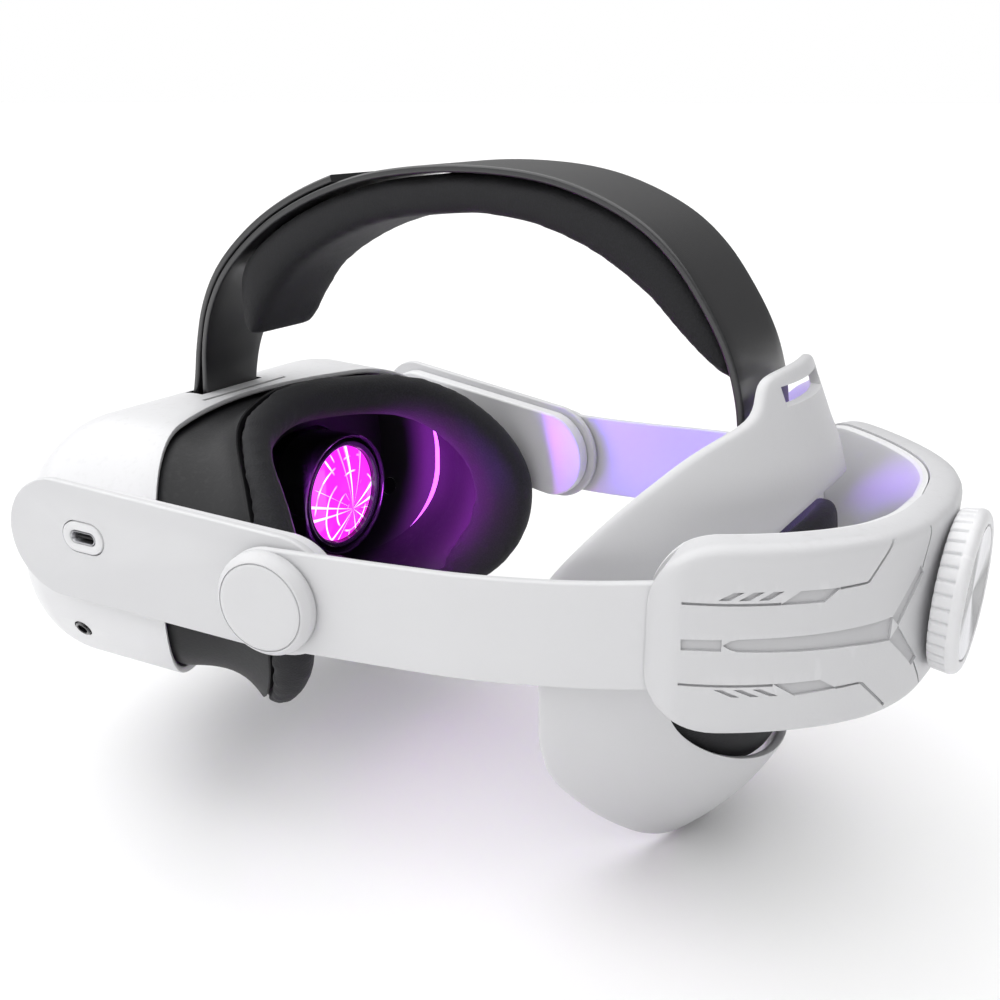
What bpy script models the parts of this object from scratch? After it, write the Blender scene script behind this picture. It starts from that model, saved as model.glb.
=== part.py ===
"""VR headset with a rigid halo strap, built from its separate pieces.

Frame: +Z is up, the visor faces -Y, the wearer's left side is +X, and the part
stands on Z = 0 with the middle of its box over the origin.  Inside this file
every position is given in millimetres from the middle of the halo's pivot axis,
and at() moves it into the frame.
"""
import math

import bmesh
import bpy
from mathutils import Matrix, Vector

# ---------------------------------------------------------------- dimensions
MM = 0.001
GAP = 0.3                       # space left between pieces that touch

PIVOT_Y = -22.5                 # where the pivot axis lies in the frame
PIVOT_Z = 93.0

VISOR_HALF_WIDTH = 92.0
VISOR_TOP = 32.0
VISOR_BOTTOM = -58.0
VISOR_FRONT = -131.0
VISOR_REAR_MIDDLE = -88.0       # rear rim of the shell at the middle
VISOR_REAR_SIDE = -49.0         # and at the temples
VISOR_CORNER = 42.0
VISOR_WALL = 2.2
VISOR_SIDE_TAPER = 6.0          # the sides close in this much toward the rim

LENS_SPACING = 31.0             # each lens axis from the middle
LENS_Z = -17.0
LENS_RADIUS = 20.0
LENS_REAR = -72.0
LENS_TRAVEL = 2.5

ARM_FRONT = (-80.5, 5.0)         # y and z of the middles of an arm's round ends
ARM_FRONT_RADIUS = 20.2
ARM_REAR_RADIUS = 19.2
ARM_LEAN = 0.16                  # how fast the arms close in toward the rear
ARM_OUTSIDE = 84.6               # outer face of the cover plate at the pivot
ARM_THICKNESS = 6.0
COVER_THICKNESS = 2.6

PIVOT_CAP_RADIUS = 16.0
PIVOT_FACE_RADIUS = 13.4
BAND_THICKNESS = 2.6

KNOB_RADIUS = 23.0
KNOB_MIDDLE_Z = 11.0
KNOB_FRONT = 168.4
KNOB_REAR = 176.0
KNOB_RIBS = 30

STRAP_THICKNESS = 2.4
STRAP_HALF_WIDTH = 19.0
STRAP_BASE_HALF_WIDTH = 13.5

# ------------------------------------------------------------------- helpers
for thing in list(bpy.data.objects):
    bpy.data.objects.remove(thing, do_unlink=True)

headset = bpy.data.collections.new("vr_headset")
cutters = bpy.data.collections.new("cutters")
bpy.context.scene.collection.children.link(headset)
bpy.context.scene.collection.children.link(cutters)


def at(x, y, z):
    """A point in the frame, from millimetres about the pivot axis."""
    return Vector((x * MM, (PIVOT_Y + y) * MM, (PIVOT_Z + z) * MM))


def material(name, colour, metallic=0.0, roughness=0.5):
    made = bpy.data.materials.new(name)
    made.use_nodes = True
    shader = made.node_tree.nodes["Principled BSDF"]
    shader.inputs["Base Color"].default_value = (*colour, 1.0)
    shader.inputs["Metallic"].default_value = metallic
    shader.inputs["Roughness"].default_value = roughness
    made.diffuse_color = (*colour, 1.0)
    return made


def add(name, points, faces, look, group=None):
    """One closed solid from points in pivot millimetres."""
    mesh = bpy.data.meshes.new(name)
    mesh.from_pydata([at(*point) for point in points], [], faces)
    tidy = bmesh.new()
    tidy.from_mesh(mesh)
    bmesh.ops.recalc_face_normals(tidy, faces=tidy.faces)
    tidy.to_mesh(mesh)
    tidy.free()
    thing = bpy.data.objects.new(name, mesh)
    (group or headset).objects.link(thing)
    if look:
        mesh.materials.append(material(name + "_look", *look))
    return thing


def loft(name, rings, look, closed=False, group=None):
    """Skin a row of equal rings; the two ends are capped unless closed."""
    count = len(rings[0])
    points = [point for ring in rings for point in ring]
    faces = []
    pairs = len(rings) if closed else len(rings) - 1
    for i in range(pairs):
        j = (i + 1) % len(rings)
        for k in range(count):
            n = (k + 1) % count
            faces.append((i * count + k, i * count + n, j * count + n, j * count + k))
    if not closed:
        for ring_index in (0, len(rings) - 1):
            ring = rings[ring_index]
            middle = [sum(p[axis] for p in ring) / count for axis in range(3)]
            points.append(tuple(middle))
            hub = len(points) - 1
            start = ring_index * count
            for k in range(count):
                faces.append((start + k, start + (k + 1) % count, hub))
    return add(name, points, faces, look, group)


def smooth(points, count):
    """Evenly spaced points on a soft curve through the given ones."""
    fine = []
    for i in range(len(points) - 1):
        a = points[max(i - 1, 0)]
        b = points[i]
        c = points[i + 1]
        d = points[min(i + 2, len(points) - 1)]
        for step in range(16):
            t = step / 16
            fine.append(tuple(
                0.5 * (2 * q + (r - p) * t + (2 * p - 5 * q + 4 * r - s) * t * t
                       + (3 * q - p - 3 * r + s) * t ** 3)
                for p, q, r, s in zip(a, b, c, d)))
    fine.append(tuple(points[-1]))
    lengths = [0.0]
    for a, b in zip(fine, fine[1:]):
        lengths.append(lengths[-1] + math.dist(a, b))
    made = []
    place = 0
    for i in range(count):
        want = lengths[-1] * i / (count - 1)
        while place < len(fine) - 2 and lengths[place + 1] < want:
            place += 1
        span = lengths[place + 1] - lengths[place]
        t = (want - lengths[place]) / span if span else 0.0
        made.append(tuple(p + (q - p) * t for p, q in zip(fine[place], fine[place + 1])))
    return made


def rounded(half_width, half_height, radius, corner_steps=6):
    """Outline of a rounded rectangle, anticlockwise from the right."""
    radius = min(radius, half_width, half_height)
    outline = []
    for corner, (sx, sz) in enumerate(((1, 1), (-1, 1), (-1, -1), (1, -1))):
        for step in range(corner_steps + 1):
            angle = math.radians(90 * corner + 90 * step / corner_steps)
            outline.append((sx * (half_width - radius) + radius * math.cos(angle),
                            sz * (half_height - radius) + radius * math.sin(angle)))
    return outline


def turned(name, middle, profile, look, axis=(0, 1, 0), steps=32, closed=False, group=None):
    """A turned solid: profile is (distance along the axis, radius)."""
    direction = Vector(axis).normalized()
    side = direction.cross(Vector((0, 0, 1))).normalized()
    up = side.cross(direction)
    rings = []
    for along, radius in profile:
        ring = []
        for step in range(steps):
            angle = 2 * math.pi * step / steps
            spot = (Vector(middle) + direction * along
                    + side * radius * math.cos(angle) + up * radius * math.sin(angle))
            ring.append(tuple(spot))
        rings.append(ring)
    return loft(name, rings, look, closed, group)


def box(name, low, high, look, group=None):
    corners = [(x, y, z) for x in (low[0], high[0]) for y in (low[1], high[1])
               for z in (low[2], high[2])]
    faces = [(0, 1, 3, 2), (4, 6, 7, 5), (0, 4, 5, 1), (2, 3, 7, 6), (0, 2, 6, 4), (1, 5, 7, 3)]
    return add(name, corners, faces, look, group)


def soften(thing, width, segments=2):
    bevel = thing.modifiers.new("soft edges", "BEVEL")
    bevel.width = width * MM
    bevel.segments = segments
    bevel.limit_method = "ANGLE"
    bevel.angle_limit = math.radians(40)
    return thing


def cut(thing, cutter):
    cutter.hide_render = True
    cutter.display_type = "WIRE"
    step = thing.modifiers.new("cut " + cutter.name, "BOOLEAN")
    step.operation = "DIFFERENCE"
    step.solver = "EXACT"
    step.object = cutter


def set_origin(thing, x, y, z):
    """Put a piece's origin on its joint."""
    spot = at(x, y, z)
    thing.data.transform(Matrix.Translation(-spot))
    thing.location = spot


WHITE = ((0.80, 0.80, 0.81), 0.0, 0.42)
SHADE = ((0.70, 0.70, 0.72), 0.0, 0.45)
BLACK = ((0.018, 0.018, 0.020), 0.0, 0.55)
FOAM = ((0.022, 0.022, 0.024), 0.0, 0.85)
STEEL = ((0.62, 0.62, 0.64), 1.0, 0.30)
GREEN = ((0.02, 0.14, 0.06), 0.0, 0.50)
GLASS = ((0.72, 0.10, 0.85), 0.0, 0.08)

# ------------------------------------------------------------- visor housing
VISOR_MIDDLE_Z = (VISOR_TOP + VISOR_BOTTOM) / 2
VISOR_HALF_HEIGHT = (VISOR_TOP - VISOR_BOTTOM) / 2


def visor_rim(x):
    """Distance of the shell's rear rim, which sweeps back to the temples."""
    sweep = min(abs(x) / VISOR_HALF_WIDTH, 1.0) ** 1.8
    return VISOR_REAR_MIDDLE + (VISOR_REAR_SIDE - VISOR_REAR_MIDDLE) * sweep


def visor_ring(inset_x, inset_z, depth, inset=0.0):
    """A section of the visor; depth is a number or a function of x."""
    outline = rounded(VISOR_HALF_WIDTH - inset_x, VISOR_HALF_HEIGHT - inset_z,
                      VISOR_CORNER - max(inset, 0.5 * inset_z), 6)
    for start in (21, 7):
        x, z = outline[start - 1]
        outline[start:start] = [(x * share, z) for share in (0.5, 0.0, -0.5)]
    ring = []
    for x, z in outline:
        y = depth(x) if callable(depth) else depth
        narrowing = VISOR_SIDE_TAPER * max(0.0, (y - VISOR_FRONT - 30) / 52)
        x -= math.copysign(narrowing * (x / VISOR_HALF_WIDTH) ** 2, x)
        ring.append((x, y, VISOR_MIDDLE_Z + z))
    return ring


def visor_skin(inset):
    """Rings of the visor from its front face to its rear rim, set in by inset."""
    rings = []
    for step in range(6):
        angle = math.radians(18 * step)
        rings.append(visor_ring(inset + 36 * (1 - math.sin(angle)),
                                inset + 22 * (1 - math.sin(angle)),
                                VISOR_FRONT + inset + 30 * (1 - math.cos(angle)), inset))
    rings.append(visor_ring(inset + 1.0, inset, visor_rim, inset))
    return rings


outer = visor_skin(0.0)
inner = visor_skin(VISOR_WALL)
shell = loft("visor_shell", outer + inner[::-1], WHITE)

pocket = box("cut_strap_pocket", (-16, -108, 22.5), (16, -98.5, 40), None, cutters)
cut(shell, pocket)
seam = box("cut_top_slot", (-22, -92.6, VISOR_TOP - 0.9), (22, -90.8, 40), None, cutters)
cut(shell, seam)
JACK = (87.6, -90, -34)
JACK_AXIS = (0.91, 0.06, -0.41)
cut(shell, turned("cut_jack_sink", JACK, [(-8, 3.4), (-0.6, 3.4), (2.6, 6.4)], None,
                  JACK_AXIS, 24, False, cutters))
turned("audio_jack", JACK, [(-7.5, 3.0), (-0.7, 3.0), (-0.5, 1.8), (-7.5, 1.8)],
       BLACK, JACK_AXIS, 16, True)

BUTTON = (-87.6, -90, -34)
BUTTON_AXIS = (-0.91, 0.06, -0.41)
cut(shell, turned("cut_power_button", BUTTON, [(-8, 4.3), (5, 4.3)], None, BUTTON_AXIS, 22,
                  False, cutters))
power = turned("power_button", BUTTON, [(-3.2, 3.9), (0.9, 3.9), (1.6, 3.0)], SHADE,
               BUTTON_AXIS, 16)
set_origin(power, *BUTTON)

ROCKER = (46, -92, VISOR_BOTTOM + 1.1)
cut(shell, box("cut_volume_rocker", (ROCKER[0] - 9.0, ROCKER[1] - 2.9, VISOR_BOTTOM - 3),
               (ROCKER[0] + 9.0, ROCKER[1] + 2.9, VISOR_BOTTOM + 4), None, cutters))
rocker = box("volume_rocker", (ROCKER[0] - 8.2, ROCKER[1] - 2.3, ROCKER[2] - 2.0),
             (ROCKER[0] + 8.2, ROCKER[1] + 2.3, ROCKER[2] + 0.6), SHADE)
set_origin(rocker, *ROCKER)

# ------------------------------------------------------- cameras and sensors
# Each camera sits square to the rounded front: (side, up) signs of its corner.
for name, sx, sz in (("camera_top_left", 1, 1), ("camera_top_right", -1, 1),
                     ("camera_low_left", 1, -1), ("camera_low_right", -1, -1)):
    middle = (sx * 64.0, VISOR_FRONT + 4.0, VISOR_MIDDLE_Z + sz * 24.0)
    facing = (sx * 0.36, -0.86, sz * 0.36)
    cut(shell, turned("cut_" + name, middle, [(-1.5, 6.8), (5.0, 6.8)], None, facing, 20,
                      False, cutters))
    turned(name, middle, [(-1.2, 6.4), (-0.1, 6.4), (0.6, 5.6), (0.6, 3.0)], BLACK, facing, 20)

# ------------------------------------------- inside the housing, front to back
box("battery", (-62, -123, -32), (-20, -117, 7), ((0.05, 0.05, 0.06), 0.1, 0.4))

fan_x, fan_z = 41.0, -13.0
fan_housing = box("fan_housing", (fan_x - 20, -124.0, fan_z - 20),
                  (fan_x + 20, -117.9, fan_z + 20), BLACK)
cut(fan_housing, turned("cut_fan_well", (fan_x, -128, fan_z), [(0, 18.5), (8.9, 18.5)], None,
                        steps=24, group=cutters))
cut(fan_housing, turned("cut_fan_eye", (fan_x, -121, fan_z), [(0, 9.0), (9, 9.0)], None,
                        steps=20, group=cutters))
blades = []
for y in (-123.4, -119.5):
    ring = []
    for blade in range(9):
        for share, radius in ((0.0, 7.0), (0.42, 7.0), (0.52, 17.2), (0.72, 17.2)):
            angle = 2 * math.pi * (blade + share) / 9
            ring.append((fan_x + radius * math.cos(angle), y, fan_z + radius * math.sin(angle)))
    blades.append(ring)
fan_rotor = loft("fan_rotor", blades, SHADE)
set_origin(fan_rotor, fan_x, -121.5, fan_z)

fins = []
for y in (-117.6, -116.2):
    fins.append([(x, y, z) for x, z in ((22, -31), (60, -31), (60, 7), (22, 7))])
loft("heat_sink", fins, ((0.55, 0.56, 0.58), 1.0, 0.4))

box("main_board", (-70, -115.9, -40), (70, -114.3, 14), GREEN)
box("display_panel", (-66, -113.6, -44), (66, -110.6, 10), ((0.30, 0.03, 0.36), 0.0, 0.2))
turned("lens_rail", (-62, -100, 12.5), [(0, 2.0), (124, 2.0)], STEEL, (1, 0, 0), 16)

# -------------------------------------------------------- optics and eye side
eye_outline = rounded(84, 38.5, 34, 6)
eye_plate = loft("eye_plate", [[(x, y, VISOR_MIDDLE_Z + z) for x, z in eye_outline]
                               for y in (-95.5, -93.5)], BLACK)
for side in (1, -1):
    slot = []
    for step in range(20):
        angle = 2 * math.pi * step / 20
        lean = 3.2 if math.cos(angle) > 0 else -3.2
        slot.append((side * LENS_SPACING + lean + 25.0 * math.cos(angle),
                     LENS_Z + 25.0 * math.sin(angle)))
    cutter = loft("cut_eye_%d" % side, [[(x, y, z) for x, z in slot] for y in (-98, -91)], None,
                  group=cutters)
    cut(eye_plate, cutter)

for word, side in (("left", 1), ("right", -1)):
    x = side * LENS_SPACING
    barrel = turned("lens_barrel_" + word, (x, 0, LENS_Z),
                    [(-106, 23.6), (-91.5, 23.6), (-89.0, 24.8), (-70.5, 25.4), (-70.0, 24.8),
                     (-77, 23.8), (-70.9, 22.4), (-71.2, 20.4), (-79.2, 20.4), (-79.2, 18.6),
                     (-106, 20.4)], BLACK, steps=24, closed=True)
    set_origin(barrel, x, -90, LENS_Z)
    lens = turned("lens_" + word, (x, 0, LENS_Z),
                  [(-78.8, 15.0), (-78.8, 20.0), (-73.4, 20.0), (-71.9, 15.0), (-71.0, 6.0)],
                  GLASS, steps=24)
    set_origin(lens, x, -90, LENS_Z)

box("proximity_sensor", (-4, -93.1, 13.5), (4, -91.6, 18.5), ((0.03, 0.01, 0.02), 0.0, 0.1))

# Perimeter of the face cushion from the middle of the brow to the nose: x, y, z.
PERIMETER = [(0, -73, 37), (31, -61, 35.5), (49, -48.5, 33), (60, -36, 25), (69, -25, 12),
             (75, -17, -3), (76, -15, -18), (73, -17, -34), (67, -25, -50), (57, -38, -61),
             (43, -50, -62), (28, -59, -56), (13, -66, -42), (0, -68, -35)]


def perimeter(count):
    """The whole closed perimeter, from one smooth half and its mirror."""
    half = smooth(PERIMETER, count // 2 + 1)
    return half + [(-x, y, z) for x, y, z in half[-2:0:-1]]


edge = perimeter(44)


def inset(points, amount, back):
    """Move a perimeter inward across the face plane and backward."""
    moved = []
    for i, (x, y, z) in enumerate(points):
        ax, ay, az = points[i - 1]
        bx, by, bz = points[(i + 1) % len(points)]
        run_x, run_z = bx - ax, bz - az
        length = math.hypot(run_x, run_z) or 1.0
        moved.append((x + amount * run_z / length, y + back, z - amount * run_x / length))
    return moved


def cushion_ring(amount, back):
    """The cushion is narrower and shallower under the eyes than at the brow."""
    made = []
    for (ex, ey, ez), (ix, _, iz) in zip(edge, inset(edge, 1.0, 0.0)):
        share = min(max((-22 - ez) / 22, 0.0), 1.0) * min(max((70 - abs(ex)) / 22, 0.0), 1.0)
        if amount > 5.3 and back < 5:
            reach = 6.4 + (amount - 6.4) * (1 - share)
        else:
            reach = amount * (1 - 0.45 * share)
        depth = back * (1 - share) + 0.9 * share if back < 0 else back
        made.append((ex + (ix - ex) * reach, ey + depth, ez + (iz - ez) * reach))
    return made


CUSHION_SECTION = [(0.4, 0.9), (-0.6, 5.0), (1.6, 10.0), (6.5, 12.4), (12.0, 10.0), (16.4, 0.0),
                   (15.6, -10.4), (12.0, -10.6), (6.4, 0.9)]
loft("face_cushion", [cushion_ring(a, b) for a, b in CUSHION_SECTION], FOAM, closed=True)

FRAME_TRIM = 0.6


def on_outline(x, z, inset_by):
    """Where the line from the middle through x, z meets the visor's outline."""
    half_x = VISOR_HALF_WIDTH - inset_by
    half_z = VISOR_HALF_HEIGHT - inset_by
    radius = VISOR_CORNER - inset_by
    near, far = 0.0, 3.0
    for _ in range(40):
        reach = (near + far) / 2
        over_x = max(abs(x * reach) - half_x + radius, 0.0)
        over_z = max(abs(z * reach) - half_z + radius, 0.0)
        if math.hypot(over_x, over_z) > radius:
            far = reach
        else:
            near = reach
    return x * near, z * near


def frame_ring(inset_by, back):
    """A section of the face frame near the shell's rim, spaced like the perimeter."""
    ring = []
    for ex, ey, ez in edge:
        x, z = on_outline(ex, ez - VISOR_MIDDLE_Z, inset_by)
        y = visor_rim(x) + back
        narrowing = VISOR_SIDE_TAPER * max(0.0, (y - VISOR_FRONT - 30) / 52)
        x -= math.copysign(narrowing * (x / VISOR_HALF_WIDTH) ** 2, x)
        ring.append((x, y, VISOR_MIDDLE_Z + z))
    return ring


def between(a, b, share, waist):
    """Points part of the way from ring a to ring b, drawn in to a waist."""
    made = []
    for u, v in zip(a, b):
        x, y, z = (p + (q - p) * share for p, q in zip(u, v))
        made.append((x * (1 - waist), y, VISOR_MIDDLE_Z + (z - VISOR_MIDDLE_Z) * (1 - waist)))
    return made


rim_out = frame_ring(VISOR_WALL + 1.0 + FRAME_TRIM, -5.0)
rim_edge = frame_ring(VISOR_WALL + 0.9 + FRAME_TRIM, 1.5)
end_out = inset(edge, 0.9, -0.3)
end_in = inset(edge, 4.2, -0.3)
rim_in = frame_ring(VISOR_WALL + 4.2, 1.5)
rim_front = frame_ring(VISOR_WALL + 4.2, -5.0)
mid_out = between(rim_edge, end_out, 0.5, 0.045)
mid_in = between(rim_in, end_in, 0.5, 0.045)
loft("face_frame", [rim_out, rim_edge, mid_out, end_out, end_in, mid_in, rim_in, rim_front],
     BLACK, closed=True)

# ---------------------------------------------------------------------- arms
def arm_x(y, depth=0.0):
    """Distance from the mid-plane of a layer of the arm, depth below its face."""
    return ARM_OUTSIDE - ARM_LEAN * y - depth


def stadium(front, front_radius, rear, rear_radius, steps=10):
    """Outline with two round ends in the side view, as y and z."""
    outline = []
    for middle, radius, start in ((rear, rear_radius, -90), (front, front_radius, 90)):
        for step in range(steps + 1):
            angle = math.radians(start + 180 * step / steps)
            outline.append((middle[0] + radius * math.cos(angle),
                            middle[1] + radius * math.sin(angle)))
    return outline


def pill(y, z, length, height, tilt, steps=8):
    """A small slot outline in the side view, tilted by an angle in degrees."""
    reach = (length - height) / 2
    lean = math.radians(tilt)
    run = (reach * math.cos(lean), reach * math.sin(lean))
    outline = []
    for sign, start in ((1, -90), (-1, 90)):
        for step in range(steps + 1):
            angle = math.radians(start + tilt + 180 * step / steps)
            outline.append((y + sign * run[0] + height / 2 * math.cos(angle),
                            z + sign * run[1] + height / 2 * math.sin(angle)))
    return outline


def layer(name, outline, depths, side, look, group=None):
    """A plate that follows the arm's slope between two or more depths."""
    rings = [[(side * arm_x(y, depth), y, z) for y, z in outline] for depth in depths]
    return loft(name, rings, look, group=group)


arm_outline = stadium(ARM_FRONT, ARM_FRONT_RADIUS, (0, 0), ARM_REAR_RADIUS)
body_outline = stadium((ARM_FRONT[0] + 4, ARM_FRONT[1]), ARM_FRONT_RADIUS - 3.0, (-1.0, 0),
                       ARM_REAR_RADIUS - 2.0)
recess_outline = stadium((ARM_FRONT[0] + 4, ARM_FRONT[1]), ARM_FRONT_RADIUS - 2.5, (-1.0, 0),
                         ARM_REAR_RADIUS - 1.5)
BODY_TOP = COVER_THICKNESS + GAP
USB_Y, USB_Z, USB_TILT = -70.5, 7.0, -3.0

for word, side in (("left", 1), ("right", -1)):
    cut(shell, layer("cut_arm_recess_" + word, recess_outline, (-12, BODY_TOP + ARM_THICKNESS + GAP),
                     side, None, cutters))
    body = layer("arm_" + word, body_outline, (BODY_TOP, BODY_TOP + ARM_THICKNESS), side, WHITE)
    cover = layer("arm_cover_" + word, arm_outline, (0.0, COVER_THICKNESS), side, WHITE)
    bore = turned("cut_pivot_bore_" + word, (side * (ARM_OUTSIDE - 12), -1.92, 0),
                  [(0, 4.9), (24, 4.9)], None, (side, ARM_LEAN, 0), 20, False, cutters)
    cut(body, bore)
    cut(cover, bore)
    if side > 0:
        hole = layer("cut_usb_window", pill(USB_Y, USB_Z, 16.4, 11.0, USB_TILT), (-3, 6.5), 1,
                     None, cutters)
        cut(cover, hole)
        cut(body, hole)
        boss = layer("usb_boss", pill(USB_Y, USB_Z, 15.6, 10.2, USB_TILT), (-0.5, 6.2), 1, WHITE)
        cut(boss, layer("cut_usb_mouth", pill(USB_Y, USB_Z, 9.8, 4.1, USB_TILT), (-4, 9), 1, None,
                        cutters))
        socket = layer("usb_socket", pill(USB_Y, USB_Z, 9.2, 3.5, USB_TILT), (-0.3, 6.0), 1, STEEL)
        cut(socket, layer("cut_usb_inside", pill(USB_Y, USB_Z, 8.4, 2.7, USB_TILT), (-4, 5.0), 1,
                          None, cutters))
        layer("usb_tongue", pill(USB_Y, USB_Z, 6.7, 0.7, USB_TILT), (0.8, 4.7), 1, BLACK)

# --------------------------------------------------------------- halo bands
STATIONS = 16                   # along half of the rear shell


# Height of the band's middle along its way to the rear: y and z.
def band_middle(y):
    share = min(max(y, 0.0) / 115.0, 1.0)
    return 10.5 * share ** 1.35


SHELL_OUTSIDE = smooth([(72.3, 111.5), (69.6, 119), (65, 128.4), (59.3, 137), (52, 145.8),
                        (43, 154.3), (32.5, 161.2), (18, 166.2), (0, 168)], STATIONS)


def normals(path):
    """Outward normals of a plan curve that runs from the temple to the back."""
    made = []
    for i in range(len(path)):
        ax, ay = path[max(i - 1, 0)]
        bx, by = path[min(i + 1, len(path) - 1)]
        length = math.hypot(bx - ax, by - ay)
        made.append(((by - ay) / length, -(bx - ax) / length))
    made[-1] = (0.0, 1.0)
    return made


SHELL_NORMALS = normals(SHELL_OUTSIDE)
BAND_DEPTH = 4.2                # band middle below the shell's outer face


def inside_shell(index, depth):
    x, y = SHELL_OUTSIDE[index]
    nx, ny = SHELL_NORMALS[index]
    return x - nx * depth, y - ny * depth


free_run = [(arm_x(-16) + 2.1, -16), (arm_x(0) + 2.1, 0), (arm_x(16) + 2.1, 16), (81.9, 40),
            (80.0, 62), (76.6, 82), (72.6, 98)]
tail_run = [inside_shell(i, BAND_DEPTH) for i in range(1, STATIONS, 2)]
band_path = smooth(free_run + tail_run, 34)

for word, side in (("left", 1), ("right", -1)):
    rings = []
    rack_shift = 7.6 * side
    for i, (x, y) in enumerate(band_path):
        ax, ay = band_path[max(i - 1, 0)]
        bx, by = band_path[min(i + 1, len(band_path) - 1)]
        length = math.hypot(bx - ax, by - ay)
        nx, ny = (by - ay) / length, -(bx - ax) / length
        half = 16.0
        if y < 0:
            half = max(2.5, math.sqrt(max(0.0, 16.0 ** 2 - y * y)))
        half -= 1.0 * min(max(y, 0) / 90, 1)
        middle = band_middle(y)
        into = min(max((y - 116) / 26, 0.0), 1.0)
        into = into * into * (3 - 2 * into)
        half += (2.4 - half) * into
        middle += (KNOB_MIDDLE_Z + rack_shift - middle) * into
        thick = BAND_THICKNESS / 2 - 0.4 * into
        soft = min(0.9, half * 0.4)
        ring = []
        for across, rise in ((thick, -half + soft), (thick, half - soft), (thick * 0.4, half),
                             (-thick * 0.4, half), (-thick, half - soft), (-thick, -half + soft),
                             (-thick * 0.4, -half), (thick * 0.4, -half)):
            ring.append((side * (x + nx * across), y + ny * across, middle + rise))
        rings.append(ring)
    last = rings[-1]
    rings.append([(px - side * 12.0, py - 1.2, pz) for px, py, pz in last])
    band = loft("side_band_" + word, rings, WHITE)
    cut(band, turned("cut_band_bore_" + word, (side * (ARM_OUTSIDE - 12), -1.92, 0),
                     [(0, 4.5), (24, 4.5)], None, (side, ARM_LEAN, 0), 20, False, cutters))
    cap_middle = (side * (ARM_OUTSIDE + 3.75), 0.6, 0)
    turned("pivot_cap_" + word, cap_middle,
           [(-12.0, 4.1), (0.0, 4.1), (0.0, 16.0), (2.8, 15.9), (5.2, 13.9), (5.5, 10.0)],
           WHITE, (side, ARM_LEAN, 0), 28)

# ----------------------------------------------------------------- rear shell
def half_to_full(path, mirror):
    return path + [mirror(point) for point in path[-2::-1]]


shell_full = half_to_full(list(zip(SHELL_OUTSIDE, SHELL_NORMALS)),
                          lambda p: ((-p[0][0], p[0][1]), (-p[1][0], p[1][1])))
SHELL_THICKNESS = 12.0


def shell_size(index):
    """Middle height and half height of the rear shell at a station."""
    station = min(index, 2 * STATIONS - 2 - index)
    closing = max(0.0, 1.0 - station / 2.6)
    half = 26.0 - 5.4 * (1 - math.sqrt(max(0.0, 1 - closing * closing)))
    return 10.4, half


def shell_ring(index, section):
    (x, y), (nx, ny) = shell_full[index]
    middle, half = shell_size(index)
    return [(x - nx * depth, y - ny * depth, middle + rise(half)) for depth, rise in section]


def top(shift):
    return lambda half: half + shift


def low(shift):
    return lambda half: -half - shift


SHELL_SECTION = [(9.0, low(0)), (3.4, low(0)), (1.0, low(-0.9)), (0.0, low(-3.2)),
                 (0.0, top(-3.2)), (1.0, top(-0.9)), (3.4, top(0)), (9.0, top(0)),
                 (9.0, top(-2.4)), (4.2, top(-2.4)), (2.3, top(-4.2)), (2.3, low(-4.2)),
                 (4.2, low(-2.4)), (9.0, low(-2.4))]
rear_rings = [shell_ring(i, SHELL_SECTION) for i in range(2 * STATIONS - 1)]


def trough(name, rings, look):
    """Like loft, with flat ends for a hollow section."""
    count = len(rings[0])
    points = [point for ring in rings for point in ring]
    faces = [tuple(range(count)), tuple(range((len(rings) - 1) * count, len(rings) * count))]
    for i in range(len(rings) - 1):
        for k in range(count):
            n = (k + 1) % count
            faces.append((i * count + k, i * count + n, (i + 1) * count + n, (i + 1) * count + k))
    return add(name, points, faces, look)


rear_shell = trough("rear_shell", rear_rings, WHITE)
cut(rear_shell, turned("cut_knob_shaft", (0, 160, KNOB_MIDDLE_Z), [(0, 4.2), (12, 4.2)], None,
                       group=cutters))
LINER_SECTION = [(9.4, low(-0.6)), (9.4, top(-0.6)), (11.0, top(-0.6)), (12.0, top(-2.4)),
                 (12.0, low(-2.4)), (11.0, low(-0.6))]
loft("shell_liner", [shell_ring(i, LINER_SECTION) for i in range(2 * STATIONS - 1)], WHITE)

# ---------------------------------------------------------------------- knob
def ribbed(y, outside, depth):
    ring = []
    for rib in range(KNOB_RIBS):
        for share, radius in ((0.0, outside), (0.5, outside - depth)):
            angle = 2 * math.pi * (rib + share) / KNOB_RIBS
            ring.append((radius * math.cos(angle), y, KNOB_MIDDLE_Z + radius * math.sin(angle)))
    return ring


knob_rings = [ribbed(KNOB_FRONT, KNOB_RADIUS - 0.8, 1.1),
              ribbed(KNOB_REAR - 3.0, KNOB_RADIUS, 1.1),
              ribbed(KNOB_REAR - 2.6, KNOB_RADIUS, 0.0),
              ribbed(KNOB_REAR, KNOB_RADIUS - 2.2, 0.0),
              ribbed(KNOB_REAR, KNOB_RADIUS - 4.0, 0.0),
              ribbed(KNOB_REAR - 1.6, KNOB_RADIUS - 4.0, 0.0)]
knob = loft("knob", knob_rings, WHITE)
set_origin(knob, 0, KNOB_FRONT, KNOB_MIDDLE_Z)
inlay = turned("knob_inlay", (0, KNOB_REAR, KNOB_MIDDLE_Z),
               [(-1.3, KNOB_RADIUS - 4.3), (-0.2, KNOB_RADIUS - 4.6), (-0.9, 3.0)], STEEL,
               steps=36)
set_origin(inlay, 0, KNOB_FRONT, KNOB_MIDDLE_Z)

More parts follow.
